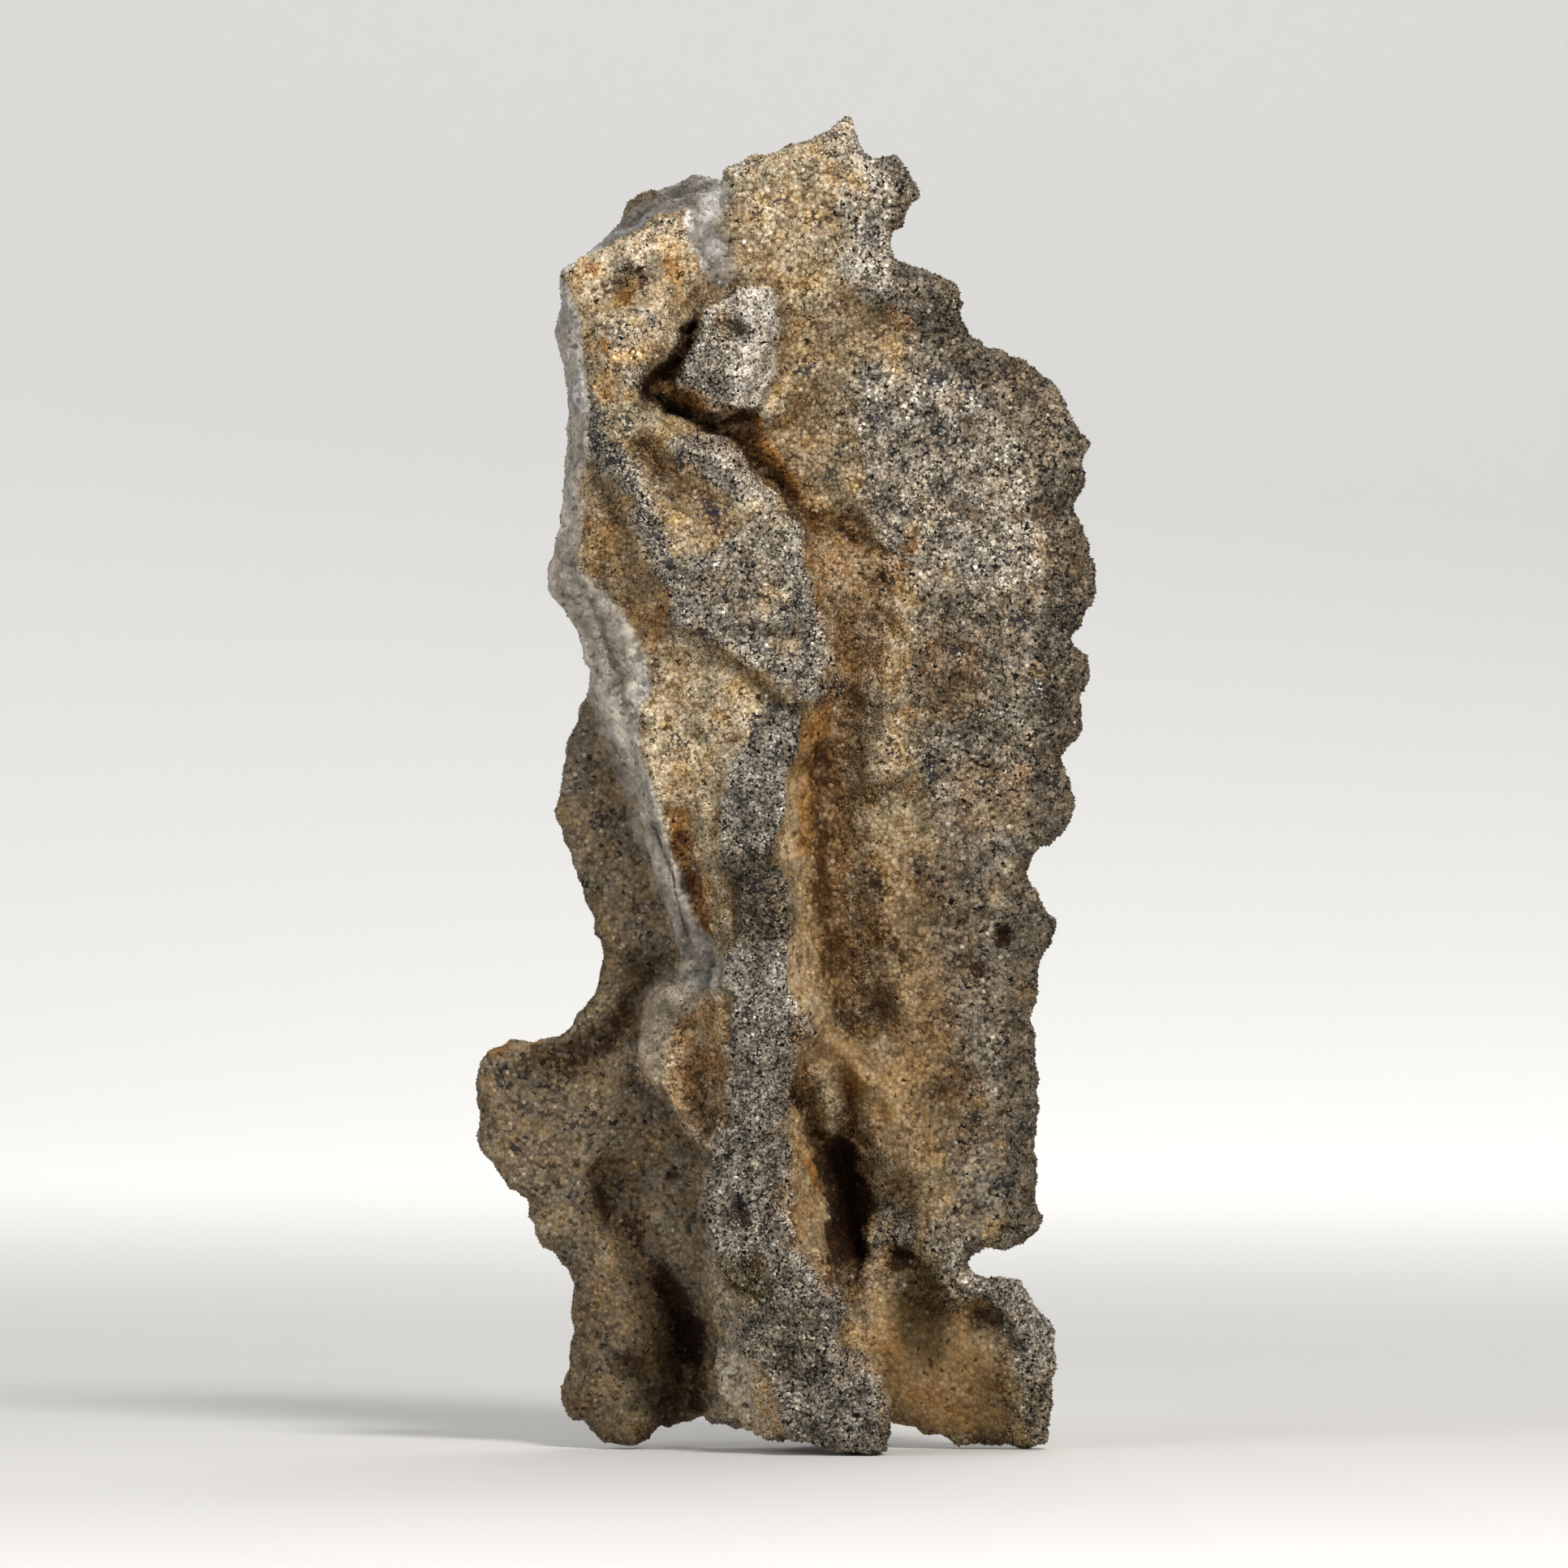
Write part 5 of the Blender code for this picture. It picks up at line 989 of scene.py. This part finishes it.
def stone_colour(bench, chance, other_chance, third_chance, gap):
    """The stone's colour and roughness from its marks, from three chances for each grain between 0 and 1, and
    from how deep a place lies in the gaps between the grains, which sets the painted shade there."""
    look = stone_settings()
    crust, glass, rust_and_shade, hollow = bench.stored("coat")
    deep, olive, pale, channel = bench.stored("stain")
    inky, smooth, grime_and_shade, _ = bench.stored("finish")
    gold = bench.stored("tint")[0]
    place = stone_place(bench)
    clump, tint, fleck, warmth = (
        bench.node("ShaderNodeTexNoise", {"noise_dimensions": "4D"}, {
            "Vector": place, "W": shift, "Scale": scale, "Detail": detail, "Roughness": NOISE_ROUGHNESS,
        }) for shift, scale, detail in STONE_NOISES
    )

    def coarse(loss):
        """How much of an effect is left where smooth sand takes a share of it away."""
        return 1.0 - loss * smooth

    stray = ((third_chance - 0.5) * 0.45 + (clump - 0.5) * 1.9) * coarse(0.4)

    def ragged(mark, spread, low, high):
        """A mark whose edge breaks up into single grains."""
        return bench.eased(mark + stray * (mark > 0.05) * spread, low, high)

    crust = bench.eased(crust + stray * 0.8, 0.2, 0.8)
    rust_and_shade = ragged(rust_and_shade, 0.75, 0.1, 0.9)
    gold = ragged(gold, 0.8, 0.15, 0.85)
    pale = bench.eased(pale - stray * (pale > 0.03), 0.1, 0.9)
    deep = ragged(deep, 1.3, 0.15, 0.85)
    warm_share = bench.eased(warmth, 0.5, 0.66) * (0.65 + 0.15 * pale) * coarse(0.6)
    colour = bench.layered(
        bench.mixed(bench.eased(tint, 0.35, 0.65) * 0.55, look.sand, look.clean_sand),
        (pale * 0.92, look.clean_sand),
        (warm_share + smooth * (1.0 - crust) * 0.62, look.ochre),
        (bench.eased(1.0 - warmth, 0.5, 0.66) * (0.58 + 0.15 * pale) * coarse(0.5), look.moss),
        (crust * 0.85, bench.mixed(pale, look.crust, look.pale_crust)),
        (gold * 0.75, look.gold),
        (rust_and_shade, look.rust_and_shade),
        (bench.eased(fleck, 0.54, 0.70) * (0.65 - 0.42 * pale) * coarse(0.7), look.ash),
        (bench.eased(1.0 - fleck, 0.56, 0.72) * (0.4 - 0.32 * crust) * coarse(0.5), look.rust_and_shade),
        (deep * 0.85, look.deep),
        (olive * 0.8, look.olive),
    )
    milky = bench.layered(
        bench.mixed(pale, look.glass, look.pale_glass),
        (bench.eased(1.0 - warmth, 0.48, 0.66) * 0.35, look.moss),
        (bench.eased(fleck, 0.56, 0.72) * 0.38, look.ash),
    )
    colour = bench.mixed(glass, colour, milky)
    contrast = (0.62 + 0.36 * crust - 0.2 * glass) * coarse(0.65)
    value = 1.0 + (chance ** 0.5 * 2.45 - 1.63) * contrast
    # Painted shade towards the gaps between the grains, and painted light on their tips.
    value = value * (1.15 - gap * (0.75 - 0.6 * glass - 0.15 * pale) * coarse(0.6))
    # Painted shade in the small hollows, and painted light on the tops of the lumps.
    value = value * (1.0 + (0.5 - hollow) * (0.84 - 0.5 * smooth)) * (1.0 + (clump - 0.5) * glass * 0.75)
    # A few bright grains, most in the crust and only on their tips: paler quartz, and painted glints.
    bright = (other_chance < (0.02 + 0.08 * crust) * coarse(0.95)) * (1.0 - 0.9 * rust_and_shade) * (1.0 - gap)
    dull = (other_chance > 0.94 + 0.08 * smooth - 0.08 * crust - 0.05 * pale) * (1.0 - 0.9 * glass)
    value = value * (1.0 + (0.6 + 0.5 * crust) * bright) * (1.0 - 0.72 * dull)
    lean = (1.0 - 0.8 * crust) * (1.0 - glass)
    reds, blues = value ** (1.0 - 0.14 * lean), value ** (1.0 + 0.2 * lean)
    tones = bench.node("ShaderNodeCombineColor", None, {0: reds, 1: value, 2: blues})
    colour = bench.layered(
        bench.mixed(1.0, colour, tones, "MULTIPLY"),
        # Painted glints: white on a few grain tips, more of them on the glass.
        ((other_chance < 0.02 + 0.03 * glass) * (1.0 - gap) * (1.0 - smooth) * 0.5, look.glint),
        ((other_chance > 1.03 - 0.75 * inky) * (1.0 - 0.9 * glass) * 0.8, look.inky),
        # More painted shade in the crevices, and down the lightning's thin channel.
        (deep * deep * 0.5, look.deep),
        (bench.eased(channel + (clump - 0.5) * 0.15, 0.89, 0.98) * 0.8, look.deep),
    )
    # Painted shade: the marked sand and glass keep only a share of their light.
    shade = bench.mixed(glass, look.grime_and_shade, look.glass_shade)
    colour = bench.mixed(grime_and_shade, colour, bench.mixed(1.0, colour, shade, "MULTIPLY"))
    roughness = 0.80 - 0.42 * glass - 0.30 * (other_chance < 0.2) * (1.0 - glass) + 0.15 * deep
    return colour, roughness


def skin_material():
    """Fused sand: a close pack of grains, each with its own tone and painted shade towards its rim, over a
    fine bump.
    """
    bench = Bench("fused_sand")
    cells = {"Vector": stone_place(bench), "Scale": PACKED_GRAINS}
    tone = bench.node("ShaderNodeTexVoronoi", None, cells, 1)
    dome = bench.node("ShaderNodeTexVoronoi", None, cells, 0)
    colour, roughness = stone_colour(bench, *bench.parts(tone), bench.eased(dome, 0.25, 0.8))
    bump = bench.node("ShaderNodeBump", None, {"Strength": 0.6, "Distance": 0.08 * MM, "Height": 1.0 - dome})
    return bench.finish(Base_Color=colour, Roughness=roughness, Normal=bump, **QUARTZ)


def grain_material():
    """Single sand grains, which store their three chances and how deep each of their corners lies, for the
    painted shade between the grains.
    """
    bench = Bench("sand_grain")
    colour, roughness = stone_colour(bench, *bench.stored("grain"))
    return bench.finish(Base_Color=colour, Roughness=roughness, **QUARTZ)


class FULGURITE_OT_skin(Operator):
    """Make the fused sand skin over the solid"""

    bl_idname = "fulgurite.skin"
    bl_label = "Fused sand skin"

    def execute(self, context):
        skin = link(SKIN, welded(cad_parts[STONE].data))
        facet = stone_settings().facet
        for name, kind, settings in (
            ("round off", "SUBSURF", {"levels": 2}),
            ("facets", "REMESH", {"mode": "VOXEL", "voxel_size": facet, "use_smooth_shade": True}),
            ("settle", "SMOOTH", {"factor": 0.5, "iterations": 3}),
        ):
            modifier = skin.modifiers.new(name, kind)
            for setting, value in settings.items():
                setattr(modifier, setting, value)
        skin.data = shaped(skin)
        mesh = skin.data
        mesh.name = skin.name
        points, normals = mesh_points(mesh), mesh_normals(mesh)
        edges = np.empty(len(mesh.edges) * 2, int)
        mesh.edges.foreach_get("vertices", edges)
        edges = edges.reshape(-1, 2)
        surface = BVHTree.FromPolygons(points.tolist(), [p.vertices for p in mesh.polygons])
        marks = skin_marks(points, normals, edges, surface)
        place_points(mesh, sculpted(points, normals, marks))
        # How far each place lies in a small hollow, for the painted shade and light there.
        marks["hollow"] = hollows(mesh_points(mesh), mesh_normals(mesh), edges)
        for name in [a.name for a in mesh.color_attributes]:
            mesh.color_attributes.remove(mesh.color_attributes[name])
        for name, kinds in MARK_TABLES.items():
            store_columns(mesh, name, [marks[kind] for kind in kinds])
        mesh.materials.clear()
        mesh.materials.append(skin_material())
        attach(skin, BODY)
        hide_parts(STONE)
        return {"FINISHED"}


def across(normals, random):
    """For each normal two directions along the skin, turned at random."""
    guide = random.normal(size=normals.shape)
    first = np.cross(normals, guide)
    first /= np.linalg.norm(first, axis=1)[:, None]
    return first, np.cross(normals, first)


def grain_piece(name, centres, normals, lengths, tables, random, material):
    """Makes one piece of many grains, each an uneven point that stands out of the skin."""
    count = len(centres)
    shape = GRAIN[None] * random.uniform(0.6, 1.25, (count, CORNERS, 1))
    shape[:, 0, :2] = random.uniform(-0.45, 0.45, (count, 2))
    shape[:, :, :2] *= random.uniform(0.7, 1.15, (count, 1, 2))
    shape *= lengths[:, None, None] / 2
    first, second = across(normals, random)
    points = (
        centres[:, None] + shape[:, :, :1] * first[:, None] + shape[:, :, 1:2] * second[:, None]
        + shape[:, :, 2:] * normals[:, None] * GRAIN_HEIGHT
    ).reshape(-1, 3)
    points[:, 2] = np.maximum(points[:, 2], 0.0)
    faces = (GRAIN_FACES[None] + CORNERS * np.arange(count)[:, None, None]).reshape(-1, 3)
    mesh = bpy.data.meshes.new(name)
    mesh.vertices.add(len(points))
    mesh.loops.add(faces.size)
    mesh.polygons.add(len(faces))
    mesh.vertices.foreach_set("co", (points * MM).ravel())
    mesh.loops.foreach_set("vertex_index", faces.ravel())
    mesh.polygons.foreach_set("loop_start", np.arange(0, faces.size, 3))
    mesh.update(calc_edges=True)
    for table_name, table in tables.items():
        values = np.repeat(table, CORNERS, axis=0).astype(np.float32)
        # Each grain's tip lies out of the gaps and its sunk corners take the painted shade of the gaps.
        if table_name == "grain":
            values[::CORNERS, 3] = 0.0
        store(mesh, table_name, values)
    row = math.ceil(math.sqrt(count))
    cells = np.stack([np.arange(count) % row, np.arange(count) // row], axis=1)
    places = (cells[:, None] + 0.08 + 0.84 * GRAIN_MAP[GRAIN_FACES.ravel()][None]) / row
    mesh.uv_layers.new(name="OFBake").data.foreach_set("uv", places.ravel())
    mesh.materials.append(material)
    piece = link(name, mesh)
    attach(piece, BODY)


class FULGURITE_OT_grains(Operator):
    """Scatter sand grains over the skin"""

    bl_idname = "fulgurite.grains"
    bl_label = "Sand grains"

    def execute(self, context):
        sizes = grain_settings()
        skin = bpy.data.objects[SKIN].data
        random = np.random.default_rng(sizes.seed)
        points, normals = mesh_points(skin), mesh_normals(skin)
        quads = np.array([p.vertices[:] for p in skin.polygons if len(p.vertices) == 4])
        tables = {name: stored_table(skin, name) for name in MARK_TABLES}
        coat = tables["coat"][quads].mean(axis=1)
        seen = tables["finish"][quads, 3].mean(axis=1)
        calm = tables["finish"][quads, 1].mean(axis=1)
        crowd = np.where(coat[:, 1] > GLASS_SHARE, GLASS_CROWD, 0.8 + 0.35 * seen + 0.15 * coat[:, 0])
        crowd *= 1.0 - 0.75 * calm
        wanted = sizes.most * len(GRAIN_PIECES)
        crowd *= wanted / crowd.sum()
        many = np.floor(crowd + random.uniform(size=len(quads))).astype(int)
        chosen = np.repeat(np.arange(len(quads)), many)[:wanted]
        turn = np.concatenate([np.arange(n) for n in many])[: len(chosen)]
        u = (turn[:, None] + random.uniform(0.0, 1.0, (len(chosen), 1))) / many[chosen][:, None]
        v = random.uniform(0.0, 1.0, (len(chosen), 1))
        chosen = quads[chosen]
        weights = np.concatenate([(1 - u) * (1 - v), u * (1 - v), u * v, (1 - u) * v], axis=1)

        def at(values):
            return np.einsum("nk,nkj->nj", weights, values[chosen])

        centres, ups = at(points), at(normals)
        ups /= np.linalg.norm(ups, axis=1)[:, None]
        here = {name: at(table) for name, table in tables.items()}
        crust = here["coat"][:, 0]
        smooth = here["finish"][:, 1]
        size = random.beta(1.5, 3.5, len(chosen)) * (1.0 - 0.6 * smooth)
        size += 0.2 * crust * random.uniform(size=len(chosen))
        lengths = (sizes.smallest + (sizes.largest - sizes.smallest) * size) / MM
        rise = (sizes.proud - 0.5 + 0.10 * crust - 0.20 * smooth) * lengths
        centres += ups * rise[:, None]
        chances = np.concatenate([random.uniform(size=(len(chosen), 3)), np.ones((len(chosen), 1))], axis=1)
        material = grain_material()
        order = np.argsort(centres[:, 2])
        for name, part in zip(GRAIN_PIECES, np.array_split(order, len(GRAIN_PIECES))):
            theirs = {key: table[part] for key, table in here.items()}
            theirs["grain"] = chances[part]
            grain_piece(name, centres[part], ups[part], lengths[part], theirs, random, material)
        return {"FINISHED"}


def floor_material():
    bench = Bench("pale_floor")
    look = studio_settings()
    place = bench.node("ShaderNodeTexCoord", None, None, 3)
    cloud = bench.node("ShaderNodeTexNoise", None, {"Vector": place, "Scale": 6.0, "Detail": 2.0})
    darker = tuple(0.985 * c for c in look.floor_colour)
    return bench.finish(Base_Color=bench.mixed(cloud, look.floor_colour, darker), Roughness=0.9)


def floor_mesh(radius, rings=60, sides=96):
    """A round floor that is flat around the stone and rises to its edge."""
    flat = FLOOR_FLAT * radius
    points, faces = [(0.0, 0.0, 0.0)], []
    for ring in range(1, rings + 1):
        run = radius * ring / rings
        over = max(run - flat, 0.0) / (radius - flat)
        height = radius * FLOOR_RISE * over ** 3
        for side in range(sides):
            angle = 2 * math.pi * side / sides
            points.append((run * math.cos(angle), run * math.sin(angle), height))
    for side in range(sides):
        faces.append((0, 1 + side, 1 + (side + 1) % sides))
    for ring in range(rings - 1):
        for side in range(sides):
            a, b = 1 + ring * sides + side, 1 + ring * sides + (side + 1) % sides
            faces.append((a, a + sides, b + sides, b))
    mesh = bpy.data.meshes.new("pale_floor")
    mesh.from_pydata(points, [], faces)
    mesh.shade_smooth()
    mesh.materials.append(floor_material())
    return mesh


class FULGURITE_OT_studio(Operator):
    """Make the pale floor, the soft lights and the camera"""

    bl_idname = "fulgurite.studio"
    bl_label = "Studio"

    def execute(self, context):
        look = studio_settings()
        scene = context.scene
        floor = link("pale_floor", floor_mesh(look.floor_radius))

        world = bpy.data.worlds.new("studio")
        world.use_nodes = True
        background = world.node_tree.nodes["Background"]
        background.inputs["Color"].default_value = ROOM_COLOUR
        background.inputs["Strength"].default_value = ROOM_LIGHT
        scene.world = world

        stone = (0.0, 0.0, look.camera_height)
        backdrop = (0.0, 0.95, 0.08)
        for name, place, aim, power, size, colour in (
            ("key", (0.10, -0.29, 0.25), stone, look.key_power, 0.09, (1.0, 0.97, 0.93)),
            ("fill", (-0.45, -0.50, 0.25), stone, look.fill_power, 0.45, (0.94, 0.97, 1.0)),
            ("back", (0.15, 0.60, 0.40), stone, look.fill_power, 0.45, (1.0, 0.98, 0.95)),
            ("backdrop", (0.0, 0.55, 0.50), backdrop, look.fill_power, 0.45, (1.0, 1.0, 1.0)),
        ):
            light = bpy.data.lights.new(name, "AREA")
            light.energy = power
            light.size = size
            light.color = colour
            lamp = bpy.data.objects.new(name, light)
            lamp.location = place
            lamp.rotation_euler = (Vector(place) - Vector(aim)).to_track_quat("Z", "Y").to_euler()
            lamp.visible_camera = False
            scene.collection.objects.link(lamp)

        lens = bpy.data.cameras.new("camera")
        lens.sensor_width = 36.0
        lens.lens = lens.sensor_width * look.camera_distance / (PHOTO_WIDTH * MM)
        lens.clip_start = 0.01
        camera = bpy.data.objects.new("camera", lens)
        camera.location = (0.0, -look.camera_distance, look.camera_height)
        camera.rotation_euler = (math.pi / 2, 0.0, 0.0)
        scene.collection.objects.link(camera)
        scene.camera = camera
        scene.view_settings.view_transform = "Standard"
        return {"FINISHED"}


class FULGURITE_PT_sidebar(Panel):
    """The stone's operators and settings"""

    bl_label = "Fulgurite"
    bl_idname = "FULGURITE_PT_sidebar"
    bl_space_type = "VIEW_3D"
    bl_region_type = "UI"
    bl_category = "Fulgurite"

    def draw(self, context):
        for operator, group in (
            (FULGURITE_OT_skin, stone_settings()),
            (FULGURITE_OT_grains, grain_settings()),
            (FULGURITE_OT_studio, studio_settings()),
        ):
            box = self.layout.box()
            box.operator(operator.bl_idname)
            for name in group.__annotations__:
                box.prop(group, name)


CLASSES = (
    StoneSettings, GrainSettings, StudioSettings,
    FULGURITE_OT_skin, FULGURITE_OT_grains, FULGURITE_OT_studio, FULGURITE_PT_sidebar,
)


def register():
    for each in CLASSES:
        bpy.utils.register_class(each)
    bpy.types.Scene.fulgurite_stone = PointerProperty(type=StoneSettings)
    bpy.types.Scene.fulgurite_grains = PointerProperty(type=GrainSettings)
    bpy.types.Scene.fulgurite_studio = PointerProperty(type=StudioSettings)


def unregister():
    del bpy.types.Scene.fulgurite_stone
    del bpy.types.Scene.fulgurite_grains
    del bpy.types.Scene.fulgurite_studio
    for each in reversed(CLASSES):
        bpy.utils.unregister_class(each)


def main():
    register()
    bpy.ops.fulgurite.skin()
    bpy.ops.fulgurite.grains()
    bpy.ops.fulgurite.studio()


if __name__ == "__main__":
    main()
